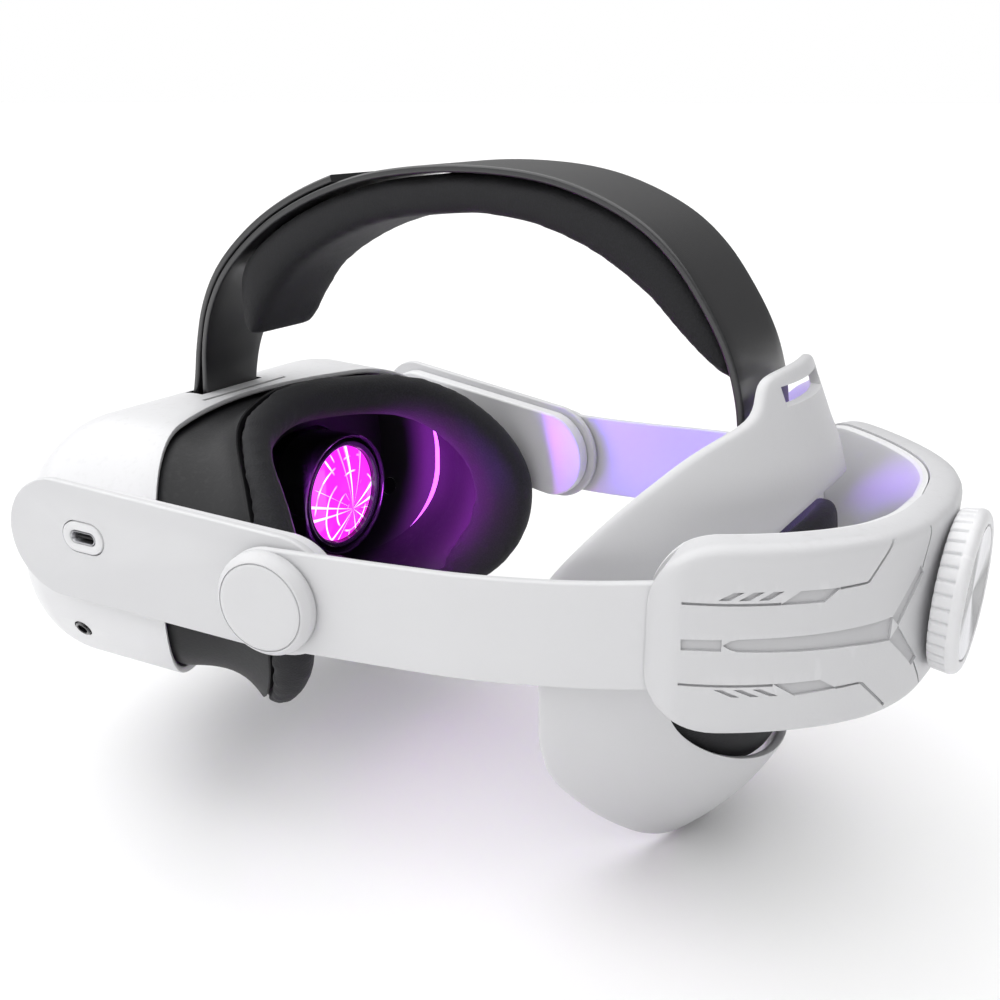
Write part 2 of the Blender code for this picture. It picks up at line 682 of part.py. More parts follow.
gear = []
for y, crest, root in ((159.1, 4.8, 3.6), (164.9, 4.8, 3.6), (164.9, 3.2, 3.2),
                       (KNOB_FRONT - GAP, 3.2, 3.2)):
    ring = []
    for step in range(24):
        angle = 2 * math.pi * step / 24
        radius = root if step % 2 else crest
        ring.append((radius * math.cos(angle), y, KNOB_MIDDLE_Z + radius * math.sin(angle)))
    gear.append(ring)
pinion = loft("knob_pinion", gear, STEEL)
set_origin(pinion, 0, KNOB_FRONT, KNOB_MIDDLE_Z)

# -------------------------------------------------------------- cradle plate
# Rear profile of the plate on the mid-plane (z, y), how wide its curve is (z, a),
# and its free edge (z, x), from the low cup to the top of the tongue.
PROFILE = [(-93, 97), (-89, 102), (-78, 112), (-65, 121), (-47, 130), (-30, 135.5), (-16, 139),
           (0, 141), (20, 140), (40, 135), (50, 130.5), (60, 126), (68, 122.5)]
CURVE = [(-93, 42), (-78, 47), (-65, 54), (-55, 62), (-40, 70), (-25, 77), (-16, 81), (10, 82),
         (68, 82)]
EDGE = [(-93.0, 0), (-91.5, 7), (-86, 17), (-77, 26), (-66, 36), (-55, 45), (-40, 55), (-25, 62),
        (-12, 66), (3, 68), (17, 66.5), (32, 60), (43, 52), (51, 42), (55.5, 32), (57.5, 26.5),
        (60, 23.4), (64, 22.0), (66.5, 20.0), (67.5, 14), (68.0, 6), (68.0, 0)]


def read(table, z):
    for (za, va), (zb, vb) in zip(table, table[1:]):
        if z <= zb:
            return va + (vb - va) * (z - za) / (zb - za)
    return table[-1][1]


def plate_y(x, z):
    """Rear face of the cradle plate, curved round the head."""
    wide = read(CURVE, z)
    return read(PROFILE, z) * math.sqrt(max(0.02, 1 - (x / wide) ** 2))


PLATE_THICKNESS = 3.0
free_edge = smooth([(x, z) for z, x in EDGE], 29)
free_edge = free_edge + [(-x, z) for x, z in free_edge[-2:0:-1]]
HOLE_Z = -8.0


def hole_point(x, z, rx, rz, middle):
    """Where the line from the hole's middle to an edge point leaves the oval."""
    angle = math.atan2((z - middle) / rz, x / rx)
    return rx * math.cos(angle), middle + rz * math.sin(angle)


def plate_ring(share, depth):
    ring = []
    for x, z in free_edge:
        hx, hz = hole_point(x, z, 50.0, 44.0, HOLE_Z)
        px = x + (hx - x) * share
        pz = z + (hz - z) * share
        ring.append((px, plate_y(px, pz) - depth, pz))
    return ring


SHARES = (0.0, 0.3, 0.65, 1.0)
plate_rings = [plate_ring(s, 0.0) for s in SHARES]
plate_rings += [plate_ring(s, PLATE_THICKNESS) for s in SHARES[::-1]]
cradle_plate = loft("cradle_plate", plate_rings, WHITE, closed=True)
cut(cradle_plate, box("cut_tongue_slot", (-15, 105, 59.0), (15, 140, 64.2), None, cutters))

for word, side in (("left", 1), ("right", -1)):
    far_x, far_y = inside_shell(1, SHELL_THICKNESS + GAP + 0.2)
    nx, ny = SHELL_NORMALS[1]
    reach = 0.0
    while far_y - ny * reach > plate_y(far_x - nx * reach, 10.0) + 2.6:
        reach += 0.1
    turned("plate_post_" + word, (side * far_x, far_y, 10.0), [(-reach, 4.0), (0, 5.0)], WHITE,
           (side * nx, ny, 0), 16)

pad_rings = []
for depth, shrink in ((4.0, 0.8), (7.0, -0.4), (10.6, 1.2), (12.4, 6.0)):
    ring = []
    for step in range(32):
        angle = 2 * math.pi * step / 32
        x = (55.0 - shrink) * math.cos(angle)
        z = -15.0 + (41.0 - shrink) * math.sin(angle)
        ring.append((x, plate_y(x, z) - depth, z))
    pad_rings.append(ring)
loft("rear_pad", pad_rings, FOAM)

# ------------------------------------------------------------------ top strap
STRAP_PATH = smooth([(-101.6, 25), (-100.6, 36), (-97.6, 50), (-90.3, 66), (-78.5, 81.5), (-61.5, 95.5),
                     (-42, 106), (-20, 113.6), (0, 117.2), (22, 118.6), (45, 117.4), (63, 113.4),
                     (80, 106), (92, 96.6), (102, 84), (109, 72), (113, 60), (114.6, 49), (114.2, 40)],
                    31)


def strap_normals(path):
    made = []
    for i in range(len(path)):
        ay, az = path[max(i - 1, 0)]
        by, bz = path[min(i + 1, len(path) - 1)]
        length = math.hypot(by - ay, bz - az)
        made.append((-(bz - az) / length, (by - ay) / length))
    return made


STRAP_NORMALS = strap_normals(STRAP_PATH)


def strap_width(z, y):
    """Half width: narrow at the visor, full past the brow."""
    if y > 60:
        return STRAP_HALF_WIDTH
    share = min(max((z - 30) / 55, 0.0), 1.0)
    share = share * share * (3 - 2 * share)
    return STRAP_BASE_HALF_WIDTH + (STRAP_HALF_WIDTH - STRAP_BASE_HALF_WIDTH) * share


def strap_layer(name, stations, outside, thickness, look):
    """A strip along the strap; outside(z) is its outer face above the path."""
    rings = []
    for i in stations:
        (y, z), (ny, nz) = STRAP_PATH[i], STRAP_NORMALS[i]
        half = strap_width(z, y)
        face = outside(z, y)
        ring = []
        for x, depth in ((half, face - 0.5), (half - 0.7, face), (-half + 0.7, face),
                         (-half, face - 0.5), (-half, face - thickness + 0.5),
                         (-half + 0.7, face - thickness), (half - 0.7, face - thickness),
                         (half, face - thickness + 0.5)):
            ring.append((x, y + ny * depth, z + nz * depth))
        rings.append(ring)
    return loft(name, rings, look)


def fold_lift(z, y):
    spread = min(max((58 - z) / 30, 0.0), 1.0)
    return STRAP_THICKNESS + 0.3 + 3.0 * spread * spread


strap_layer("top_strap", range(0, 31), lambda z, y: 0.0, STRAP_THICKNESS, BLACK)
strap_layer("strap_fold", range(0, 14), fold_lift, STRAP_THICKNESS, BLACK)
turned("strap_bar", (-15.4, -103.2, 24.6), [(0, 1.1), (30.8, 1.1)], STEEL, (1, 0, 0), 12)

PAD_LOWER = smooth([(-77, 50.5), (-68.5, 57), (-60.5, 69.5), (-49.5, 82), (-31, 93.2), (-11, 100.4),
                    (10, 103.8), (28, 104.6), (46, 102.2), (64, 95.8), (80, 86), (90, 76.5),
                    (97, 68.5)], 18)
upper_line = [(y - ny * (STRAP_THICKNESS + 0.4), z - nz * (STRAP_THICKNESS + 0.4))
              for (y, z), (ny, nz) in zip(STRAP_PATH, STRAP_NORMALS)]
PAD_UPPER = smooth(upper_line[6:29], 18)
pad_rings = []
for i, ((uy, uz), (ly, lz)) in enumerate(zip(PAD_UPPER, PAD_LOWER)):
    closing = max(0.0, 1 - min(i, 17 - i) / 1.6)
    half = (strap_width(uz, uy) - 0.8) * (1 - 0.35 * closing * closing)
    squeeze = 0.36 * closing * closing
    ring = []
    for x, share in ((0.9, 0.0), (1.0, 0.2), (1.0, 0.75), (0.86, 1.0)):
        share = squeeze + share * (1 - 2 * squeeze)
        ring.append((half * x, uy + (ly - uy) * share, uz + (lz - uz) * share))
    mirror = [(-x, y, z) for x, y, z in ring[::-1]]
    pad_rings.append(ring + mirror)
loft("top_pad", pad_rings, FOAM)
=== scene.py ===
"""Looks for the vr headset: moulded shells, foam pads, strap, lenses, and a plain studio."""

import math

import bmesh
import bpy
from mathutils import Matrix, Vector


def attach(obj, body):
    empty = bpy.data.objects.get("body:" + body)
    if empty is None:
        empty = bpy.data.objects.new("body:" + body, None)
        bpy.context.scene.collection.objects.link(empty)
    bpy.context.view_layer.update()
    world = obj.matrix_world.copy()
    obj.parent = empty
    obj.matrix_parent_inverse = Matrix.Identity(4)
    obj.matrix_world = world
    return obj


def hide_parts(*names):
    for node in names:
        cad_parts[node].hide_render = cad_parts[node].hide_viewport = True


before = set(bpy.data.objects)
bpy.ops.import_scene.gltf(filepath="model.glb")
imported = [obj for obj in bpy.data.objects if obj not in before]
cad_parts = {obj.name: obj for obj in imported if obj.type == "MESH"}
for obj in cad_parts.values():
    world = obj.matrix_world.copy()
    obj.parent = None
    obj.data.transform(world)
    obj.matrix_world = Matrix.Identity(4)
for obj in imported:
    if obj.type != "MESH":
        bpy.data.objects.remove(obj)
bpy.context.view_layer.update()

# ---------------------------------------------------------------- dimensions
# Millimetres from the middle of the halo's pivot axis, as in the part's source.
MM = 0.001
PIVOT_Y, PIVOT_Z = -22.5, 93.0
VISOR_HALF_WIDTH, VISOR_HALF_HEIGHT, VISOR_MIDDLE_Z = 92.0, 45.0, -13.0
VISOR_TOP, VISOR_BOTTOM, VISOR_FRONT = 32.0, -58.0, -131.0
VISOR_REAR_MIDDLE, VISOR_REAR_SIDE = -88.0, -49.0
VISOR_CORNER, VISOR_WALL, VISOR_SIDE_TAPER = 42.0, 2.2, 6.0
LENS_SPACING, LENS_Z = 31.0, -17.0
ARM_FRONT, ARM_FRONT_RADIUS, ARM_REAR_RADIUS = (-80.5, 5.0), 20.2, 19.2
ARM_LEAN, ARM_OUTSIDE, ARM_THICKNESS, COVER_THICKNESS = 0.16, 84.6, 6.0, 2.6
BAND_THICKNESS, BAND_DEPTH = 2.6, 4.2
KNOB_RADIUS, KNOB_MIDDLE_Z, KNOB_REAR, KNOB_RIBS = 23.0, 11.0, 176.0, 38
STRAP_THICKNESS, STRAP_HALF_WIDTH, STRAP_BASE_HALF_WIDTH = 2.4, 19.0, 13.5


# ------------------------------------------------------------------- helpers
def place(x, y, z):
    """A point in the frame, from millimetres about the pivot axis."""
    return Vector((x * MM, (PIVOT_Y + y) * MM, (PIVOT_Z + z) * MM))


def finish_mesh(thing, sharp=34.0):
    for face in thing.data.polygons:
        face.use_smooth = True
    thing.data.set_sharp_from_angle(angle=math.radians(sharp))


def skin(name, rings, look, closed=False, sharp=34.0):
    """Skin a row of equal rings; the two ends are flat unless closed."""
    count = len(rings[0])
    points = [place(*point) for ring in rings for point in ring]
    faces = []
    for i in range(len(rings) if closed else len(rings) - 1):
        j = (i + 1) % len(rings)
        for k in range(count):
            n = (k + 1) % count
            faces.append((i * count + k, i * count + n, j * count + n, j * count + k))
    if not closed:
        faces.append(tuple(range(count)))
        faces.append(tuple(range((len(rings) - 1) * count, len(rings) * count)))
    mesh = bpy.data.meshes.new(name)
    mesh.from_pydata(points, [], faces)
    tidy = bmesh.new()
    tidy.from_mesh(mesh)
    bmesh.ops.recalc_face_normals(tidy, faces=tidy.faces)
    tidy.to_mesh(mesh)
    tidy.free()
    thing = bpy.data.objects.new(name, mesh)
    bpy.context.scene.collection.objects.link(thing)
    mesh.materials.append(look)
    finish_mesh(thing, sharp)
    return thing


def carve(thing, cutters, sharp=34.0):
    """Cut pieces away and keep the result; the new faces take the cutters' looks."""
    for cutter in cutters:
        step = thing.modifiers.new("cut", "BOOLEAN")
        step.operation = "DIFFERENCE"
        step.solver = "EXACT"
        step.material_mode = "TRANSFER"
        step.object = cutter
    ready = thing.evaluated_get(bpy.context.evaluated_depsgraph_get())
    mesh = bpy.data.meshes.new_from_object(ready)
    thing.modifiers.clear()
    thing.data = mesh
    for cutter in cutters:
        bpy.data.objects.remove(cutter, do_unlink=True)
    finish_mesh(thing, sharp)
    return thing


def belong(thing, body, nodes):
    """Ride on a body and stand for its CAD nodes."""
    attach(thing, body)
    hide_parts(*nodes)
    return thing


def smooth(points, count, loop=False):
    """Evenly spaced points on a soft curve through the given ones."""
    run = list(points) + ([points[0]] if loop else [])
    fine = []
    for i in range(len(run) - 1):
        if loop:
            a, d = points[i - 1], points[(i + 2) % len(points)]
        else:
            a, d = run[max(i - 1, 0)], run[min(i + 2, len(run) - 1)]
        b, c = run[i], run[i + 1]
        for step in range(16):
            t = step / 16
            fine.append(tuple(
                0.5 * (2 * q + (r - p) * t + (2 * p - 5 * q + 4 * r - s) * t * t
                       + (3 * q - p - 3 * r + s) * t ** 3)
                for p, q, r, s in zip(a, b, c, d)))
    fine.append(tuple(run[-1]))
    return even(fine, count, loop)


def even(fine, count, loop=False):
    """The same path with evenly spaced points."""
    lengths = [0.0]
    for a, b in zip(fine, fine[1:]):
        lengths.append(lengths[-1] + math.dist(a, b))
    made = []
    here = 0
    for i in range(count):
        want = lengths[-1] * i / (count if loop else count - 1)
        while here < len(fine) - 2 and lengths[here + 1] < want:
            here += 1
        span = lengths[here + 1] - lengths[here]
        t = (want - lengths[here]) / span if span else 0.0
        made.append(tuple(p + (q - p) * t for p, q in zip(fine[here], fine[here + 1])))
    return made


def rounded(half_width, half_height, radius, corner_steps=6, flat_steps=1):
    """Outline of a rounded rectangle, anticlockwise from the right."""
    radius = min(radius, half_width - 0.001, half_height - 0.001)
    corners = []
    for corner, (sx, sz) in enumerate(((1, 1), (-1, 1), (-1, -1), (1, -1))):
        arc = []
        for step in range(corner_steps + 1):
            angle = math.radians(90 * corner + 90 * step / corner_steps)
            arc.append((sx * (half_width - radius) + radius * math.cos(angle),
                        sz * (half_height - radius) + radius * math.sin(angle)))
        corners.append(arc)
    outline = []
    for i, arc in enumerate(corners):
        outline += arc
        (ax, az), (bx, bz) = arc[-1], corners[(i + 1) % 4][0]
        for step in range(1, flat_steps):
            share = step / flat_steps
            outline.append((ax + (bx - ax) * share, az + (bz - az) * share))
    return outline


def turned(name, middle, profile, look, axis=(0, 1, 0), steps=96, closed=False, sharp=34.0):
    """A turned solid: profile is (distance along the axis, radius)."""
    direction = Vector(axis).normalized()
    side = direction.cross(Vector((0, 0, 1))).normalized()
    up = side.cross(direction)
    rings = []
    for along, radius in profile:
        ring = []
        for step in range(steps):
            angle = 2 * math.pi * step / steps
            ring.append(tuple(Vector(middle) + direction * along
                              + side * radius * math.cos(angle) + up * radius * math.sin(angle)))
        rings.append(ring)
    return skin(name, rings, look, closed, sharp)


def block(name, low, high, look=None):
    rings = [[(x, y, z) for x, z in ((low[0], low[2]), (high[0], low[2]), (high[0], high[2]),
                                     (low[0], high[2]))] for y in (low[1], high[1])]
    return skin(name, rings, look or white)


def read(table, z):
    """A soft curve through a table of (place, value) rows."""
    last = len(table) - 1
    z = min(max(z, table[0][0]), table[last][0])
    i = 0
    while i < last - 1 and z > table[i + 1][0]:
        i += 1

    def slope(k):
        low, high = table[max(k - 1, 0)], table[min(k + 1, last)]
        return (high[1] - low[1]) / (high[0] - low[0])

    (za, va), (zb, vb) = table[i], table[i + 1]
    run = zb - za
    t = (z - za) / run
    return (va * (1 + 2 * t) * (1 - t) ** 2 + vb * t * t * (3 - 2 * t)
            + slope(i) * run * t * (1 - t) ** 2 - slope(i + 1) * run * t * t * (1 - t))


def ease(value):
    """A soft start and stop between 0 and 1."""
    value = min(max(value, 0.0), 1.0)
    return value * value * (3 - 2 * value)


# ------------------------------------------------------------- shader groups
FLOAT, VECTOR = "NodeSocketFloat", "NodeSocketVector"


def new_group(name, inputs, outputs):
    """An empty shader group with named sockets; returns it with its two ends."""
    group = bpy.data.node_groups.new(name, "ShaderNodeTree")
    for label, kind, value in inputs:
        socket = group.interface.new_socket(label, in_out="INPUT", socket_type=kind)
        if value is not None:
            socket.default_value = value
    for label in outputs:
        group.interface.new_socket(label, in_out="OUTPUT", socket_type=FLOAT)
    ins, outs = group.nodes.new("NodeGroupInput"), group.nodes.new("NodeGroupOutput")
    return group, ins.outputs, outs.inputs


def feed(tree, socket, value):
    """Link another node's output into a socket, or set a plain value there."""
    if isinstance(value, bpy.types.NodeSocket):
        tree.links.new(value, socket)
    else:
        socket.default_value = value


def node(tree, kind, settings=(), **links):
    """A node with plain settings; links feed its inputs by name or number."""
    made = tree.nodes.new(kind)
    for key, value in settings:
        setattr(made, key, value)
    for key, value in links.items():
        numbered = key[0] == "i" and key[1:].isdigit()
        feed(tree, made.inputs[int(key[1:]) if numbered else key.replace("_", " ")], value)
    return made


def work(tree, operation, *values, clamp=False):
    """The result of one Math node."""
    made = node(tree, "ShaderNodeMath", (("operation", operation), ("use_clamp", clamp)))
    for socket, value in zip(made.inputs, values):
        feed(tree, socket, value)
    return made.outputs[0]


def rescale(tree, value, low, high, bottom=0.0, top=1.0):
    """A value between low and high, spread from bottom to top."""
    return node(tree, "ShaderNodeMapRange", Value=value, i1=low, i2=high, i3=bottom,
                i4=top).outputs[0]


def noise(tree, where, scale, detail, **settings):
    return node(tree, "ShaderNodeTexNoise", Vector=where, Scale=scale, Detail=detail,
                **settings).outputs[0]


def noise_along(tree, value, scale, detail):
    """Noise that changes along one value only."""
    return node(tree, "ShaderNodeTexNoise", (("noise_dimensions", "1D"),), W=value, Scale=scale,
                Detail=detail).outputs[0]


def mix(tree, factor, a, b):
    """Colour a where the factor is 0, b where it is 1."""
    made = node(tree, "ShaderNodeMix", (("data_type", "RGBA"),), i0=factor)
    for socket, value in ((made.inputs[6], a), (made.inputs[7], b)):
        feed(tree, socket, (*value, 1.0) if isinstance(value, tuple) else value)
    return made.outputs[2]


def grain_group():
    """Fine moulded grain: two sizes of noise as one height, and a soft blotch mask."""
    group, ins, outs = new_group(
        "fine_grain", [("Vector", VECTOR, None), ("Scale", FLOAT, 900.0), ("Blotch", FLOAT, 14.0)],
        ["Height", "Mask"])
    fine = noise(group, ins["Vector"], ins["Scale"], 3.0, Roughness=0.6)
    cells = node(group, "ShaderNodeTexVoronoi", (("feature", "SMOOTH_F1"),),
                 Vector=ins["Vector"], Scale=ins["Scale"])
    feed(group, outs["Height"], work(group, "MULTIPLY_ADD", cells.outputs[0], 0.6, fine))
    feed(group, outs["Mask"], noise(group, ins["Vector"], ins["Blotch"], 4.0))
    return group


def scuff_and_highlight_group():
    """Edges made lighter, partly scuffing and partly a painted edge highlight, and settled dust as
    two masks.
    """
    group, ins, outs = new_group(
        "edge_highlight_and_dust", [("Vector", VECTOR, None), ("Edge", FLOAT, 0.5), ("Dust", FLOAT, 0.2)],
        ["Edge", "Dust"])
    shape = node(group, "ShaderNodeNewGeometry")
    ridge = rescale(group, shape.outputs["Pointiness"], 0.52, 0.60)
    # Edge mask: partly scuffing, partly a painted edge highlight.
    scuffed_and_lit_edge = work(group, "MULTIPLY", ridge, noise(group, ins["Vector"], 60.0, 5.0))
    feed(group, outs["Edge"], work(group, "MULTIPLY", scuffed_and_lit_edge, ins["Edge"], clamp=True))
    split = node(group, "ShaderNodeSeparateXYZ", Vector=shape.outputs["Normal"])
    up = rescale(group, split.outputs["Z"], 0.2, 1.0)
    spots = rescale(group, noise(group, ins["Vector"], 420.0, 2.0), 0.55, 0.75)
    lie = work(group, "MULTIPLY", up, spots)
    feed(group, outs["Dust"], work(group, "MULTIPLY", lie, ins["Dust"], clamp=True))
    return group


def foam_group():
    """The skin of a foam pad: pores and soft creases."""
    group, ins, outs = new_group(
        "foam_skin", [("Vector", VECTOR, None), ("Scale", FLOAT, 1400.0)], ["Height", "Pores"])
    pores = node(group, "ShaderNodeTexVoronoi", Vector=ins["Vector"], Scale=ins["Scale"])
    creases = noise(group, ins["Vector"], 70.0, 6.0, Distortion=0.6)
    feed(group, outs["Height"], work(group, "MULTIPLY_ADD", creases, 1.6, pores.outputs[0]))
    feed(group, outs["Pores"], pores.outputs[0])
    return group


def weave_group():
    """Close crossed threads, for strap cloth."""
    group, ins, outs = new_group(
        "close_weave", [("Vector", VECTOR, None), ("Scale", FLOAT, 900.0)], ["Height"])
    threads = [node(group, "ShaderNodeTexWave", (("bands_direction", direction),),
                    Vector=ins["Vector"], Scale=ins["Scale"], Distortion=0.4).outputs[1]
               for direction in ("X", "DIAGONAL")]
    feed(group, outs["Height"], work(group, "MAXIMUM", *threads))
    return group


fine_grain, edge_highlight_and_dust = grain_group(), scuff_and_highlight_group()
foam_skin, close_weave = foam_group(), weave_group()


def use(tree, group, **links):
    return node(tree, "ShaderNodeGroup", (("node_tree", group),), **links).outputs


# ----------------------------------------------------------------- materials
def start_look(name, roughness, metallic=0.0, **settings):
    look = bpy.data.materials.new(name)
    look.use_nodes = True
    tree = look.node_tree
    sockets = tree.nodes["Principled BSDF"].inputs
    sockets["Roughness"].default_value = roughness
    sockets["Metallic"].default_value = metallic
    for key, value in settings.items():
        sockets[key.replace("_", " ")].default_value = value
    where = tree.nodes.new("ShaderNodeTexCoord").outputs["Object"]
    return look, tree, sockets, where


def raise_surface(tree, sockets, height, strength, distance):
    """Small relief that only the light sees."""
    bump = node(tree, "ShaderNodeBump", Strength=strength, Distance=distance, Height=height)
    feed(tree, sockets["Normal"], bump.outputs[0])


def moulded(name, colour, darker, roughness, grain=1100.0, depth=0.12, edge=0.5, dust=0.15,
            **settings):
    """Moulded plastic: fine grain, slow tone drift, lighter edges (partly scuffing, partly a
    painted edge highlight) and a little dust.
    """
    look, tree, sockets, where = start_look(name, roughness, **settings)
    skin_grain = use(tree, fine_grain, Vector=where, Scale=grain, Blotch=16.0)
    scuff_highlight_and_dust = use(tree, edge_highlight_and_dust, Vector=where, Edge=edge, Dust=dust)
    # Lighter colour on the edges: partly scuffing, partly a painted edge highlight.
    lit_edge_colour = tuple(min(c * 1.25 + 0.02, 0.9) for c in colour)
    tone = mix(tree, skin_grain["Mask"], colour, darker)
    tone = mix(tree, scuff_highlight_and_dust["Edge"], tone, lit_edge_colour)
    feed(tree, sockets["Base Color"], mix(tree, scuff_highlight_and_dust["Dust"], tone, (0.45, 0.44, 0.43)))
    feed(tree, sockets["Roughness"],
         rescale(tree, skin_grain["Height"], 0.2, 1.4, roughness - 0.05, roughness + 0.07))
    raise_surface(tree, sockets, skin_grain["Height"], depth, 0.0002)
    return look


def foam(name, colour, lighter, roughness=0.72, pores=1500.0):
    """Soft foam skin with open pores."""
    look, tree, sockets, where = start_look(name, roughness, Sheen_Weight=0.04,
                                            Sheen_Roughness=0.5, Specular_IOR_Level=0.22)
    skin_foam = use(tree, foam_skin, Vector=where, Scale=pores)
    feed(tree, sockets["Base Color"], mix(tree, skin_foam["Pores"], colour, lighter))
    feed(tree, sockets["Roughness"],
         rescale(tree, skin_foam["Pores"], 0.0, 0.8, roughness - 0.10, roughness + 0.08))
    raise_surface(tree, sockets, skin_foam["Height"], 0.35, 0.0003)
    return look


def woven(name, colour, lighter, roughness):
    """Coated strap cloth."""
    look, tree, sockets, where = start_look(name, roughness, Specular_IOR_Level=0.6,
                                            Coat_Weight=0.55, Coat_Roughness=0.24)
    weave = use(tree, close_weave, Vector=where, Scale=700.0)
    skin_grain = use(tree, fine_grain, Vector=where, Scale=1300.0, Blotch=20.0)
    feed(tree, sockets["Base Color"], mix(tree, weave["Height"], colour, lighter))
    feed(tree, sockets["Roughness"],
         rescale(tree, skin_grain["Mask"], 0.2, 0.8, roughness - 0.05, roughness + 0.06))
    raise_surface(tree, sockets, work(tree, "ADD", weave["Height"], skin_grain["Height"]),
                  0.12, 0.0002)
    return look


def round_axis(tree, where, middle):
    """About an axis along Y: the place across it, height, turn and reach."""
    off = node(tree, "ShaderNodeVectorMath", (("operation", "SUBTRACT"),), i0=where,
               i1=tuple(middle))
    split = node(tree, "ShaderNodeSeparateXYZ", Vector=off.outputs[0]).outputs
    flat = node(tree, "ShaderNodeCombineXYZ", X=split["X"], Z=split["Z"]).outputs[0]
    reach = node(tree, "ShaderNodeVectorMath", (("operation", "LENGTH"),), i0=flat)
    return flat, split["Z"], work(tree, "ARCTAN2", split["Z"], split["X"]), reach.outputs["Value"]


def spun_metal(name, middle):
    """Turned metal: fine rings round an axis along Y, with streaked gloss from the shader and a
    painted reflection: lit and shaded sectors painted into the colour by angle round the axis.
    """
    look, tree, sockets, where = start_look(name, 0.24, 1.0, Anisotropic=0.85)
    _, _, turn, reach = round_axis(tree, where, middle)
    rings = noise_along(tree, reach, 9000.0, 2.0)
    # Painted reflection: the colour swings between lit and shaded sectors by angle round the axis.
    sweep = work(tree, "COSINE", work(tree, "MULTIPLY_ADD", turn, 2.0, 2.2))
    painted_lit_sector = mix(tree, rings, (0.50, 0.50, 0.52), (0.78, 0.78, 0.80))
    painted_shaded_sector = mix(tree, rings, (0.03, 0.03, 0.035), (0.10, 0.10, 0.11))
    feed(tree, sockets["Base Color"], mix(tree, rescale(tree, sweep, -0.45, 0.45), painted_shaded_sector, painted_lit_sector))
    raise_surface(tree, sockets, rings, 0.15, 0.0001)
    along = node(tree, "ShaderNodeTangent", (("direction_type", "RADIAL"), ("axis", "Y")))
    feed(tree, sockets["Tangent"], along.outputs[0])
    return look


def lens_with_painted_glow(name, middle, side):
    """Lens with painted light: emission paints a magenta to violet glow with fine light rays and
    arcs, painted reflections, though the lens is no lamp.
    """
    look, tree, sockets, where = start_look(name, 0.06, Coat_Weight=1.0, Coat_Roughness=0.03,
                                            Emission_Strength=1.5)
    flat, height, turn, reach = round_axis(tree, where,
                                           middle + Vector((side * 0.005, 0, -0.008)))
    long_rays, short_rays = (rescale(tree, noise_along(tree, turn, scale, 3.0), low, low + 0.05)
                             for scale, low in ((5.0, 0.60), (13.0, 0.66)))
    patch = noise(tree, where, 110.0, 1.0)
    some = rescale(tree, patch, 0.48, 0.60)
    wave = node(tree, "ShaderNodeTexWave",
                (("wave_type", "RINGS"), ("rings_direction", "SPHERICAL")),
                Vector=flat, Scale=48.0, Distortion=2.2, Detail=1.0)
    arcs = work(tree, "MULTIPLY", rescale(tree, wave.outputs[1], 0.95, 0.99), some)
    both = work(tree, "MAXIMUM", work(tree, "MULTIPLY", short_rays, some), arcs)
    lines = work(tree, "MAXIMUM", long_rays, both, clamp=True)
    blue = rescale(tree, patch, 0.36, 0.50)
    glow = mix(tree, blue, (0.18, 0.06, 1.0), (1.0, 0.02, 0.70))
    glow = mix(tree, rescale(tree, height, -0.014, 0.02), glow, (1.0, 0.03, 0.75))
    glow = mix(tree, rescale(tree, reach, 0.004, 0.024), glow, (0.75, 0.02, 0.80))
    # Painted glow and painted glints: the lens emits this colour though it is no lamp.
    feed(tree, sockets["Emission Color"], mix(tree, lines, glow, (1.0, 0.86, 1.0)))
    feed(tree, sockets["Base Color"], mix(tree, lines, (0.25, 0.0, 0.22), (0.6, 0.3, 0.6)))
    return look


white = moulded("white_plastic", (0.75, 0.75, 0.76), (0.71, 0.71, 0.725), 0.40)
band_white = moulded("band_plastic", (0.66, 0.66, 0.67), (0.62, 0.62, 0.635), 0.42)
shell_white = moulded("shell_plastic", (0.62, 0.62, 0.63), (0.585, 0.585, 0.60), 0.38)
inner_grey = moulded("inner_plastic", (0.035, 0.032, 0.037), (0.024, 0.022, 0.026), 0.55,
                     dust=0.02)
arm_white = moulded("arm_plastic", (0.66, 0.66, 0.67), (0.62, 0.62, 0.635), 0.44, grain=1500.0)
# Groove and slot floors: the shell's plastic made a little darker, painted shade in the recesses.
painted_groove_shade = moulded("groove_plastic_painted_shade", (0.53, 0.53, 0.54), (0.48, 0.48, 0.495), 0.5, edge=0.1)
key_grey = moulded("key_plastic", (0.62, 0.62, 0.64), (0.56, 0.56, 0.58), 0.42)
black = moulded("black_plastic", (0.016, 0.016, 0.018), (0.011, 0.011, 0.012), 0.50, depth=0.2,
                edge=0.12, dust=0.02, Specular_IOR_Level=0.32)
gloss_black = moulded("black_gloss", (0.010, 0.010, 0.012), (0.006, 0.006, 0.007), 0.16,
                      depth=0.03, edge=0.05, dust=0.02, Coat_Weight=0.6)
foam_black = foam("foam_black", (0.014, 0.014, 0.016), (0.030, 0.030, 0.033))
pad_black = foam("pad_black", (0.012, 0.012, 0.013), (0.022, 0.022, 0.025), 0.62, 1900.0)
strap_black = woven("strap_black", (0.010, 0.010, 0.011), (0.016, 0.016, 0.018), 0.34)
steel = moulded("steel", (0.58, 0.58, 0.60), (0.48, 0.48, 0.50), 0.32, grain=2400.0, dust=0.0,
                Metallic=1.0)
board_green = moulded("board", (0.02, 0.14, 0.06), (0.015, 0.10, 0.045), 0.5, dust=0.0)
# The display panel's violet colour is painted light, standing in for its glow.
panel_painted_glow = moulded("panel_painted_violet_light", (0.28, 0.03, 0.34), (0.20, 0.02, 0.26), 0.2, dust=0.0)
cell_wrap = moulded("cell_wrap", (0.05, 0.05, 0.06), (0.035, 0.035, 0.04), 0.4, dust=0.0)


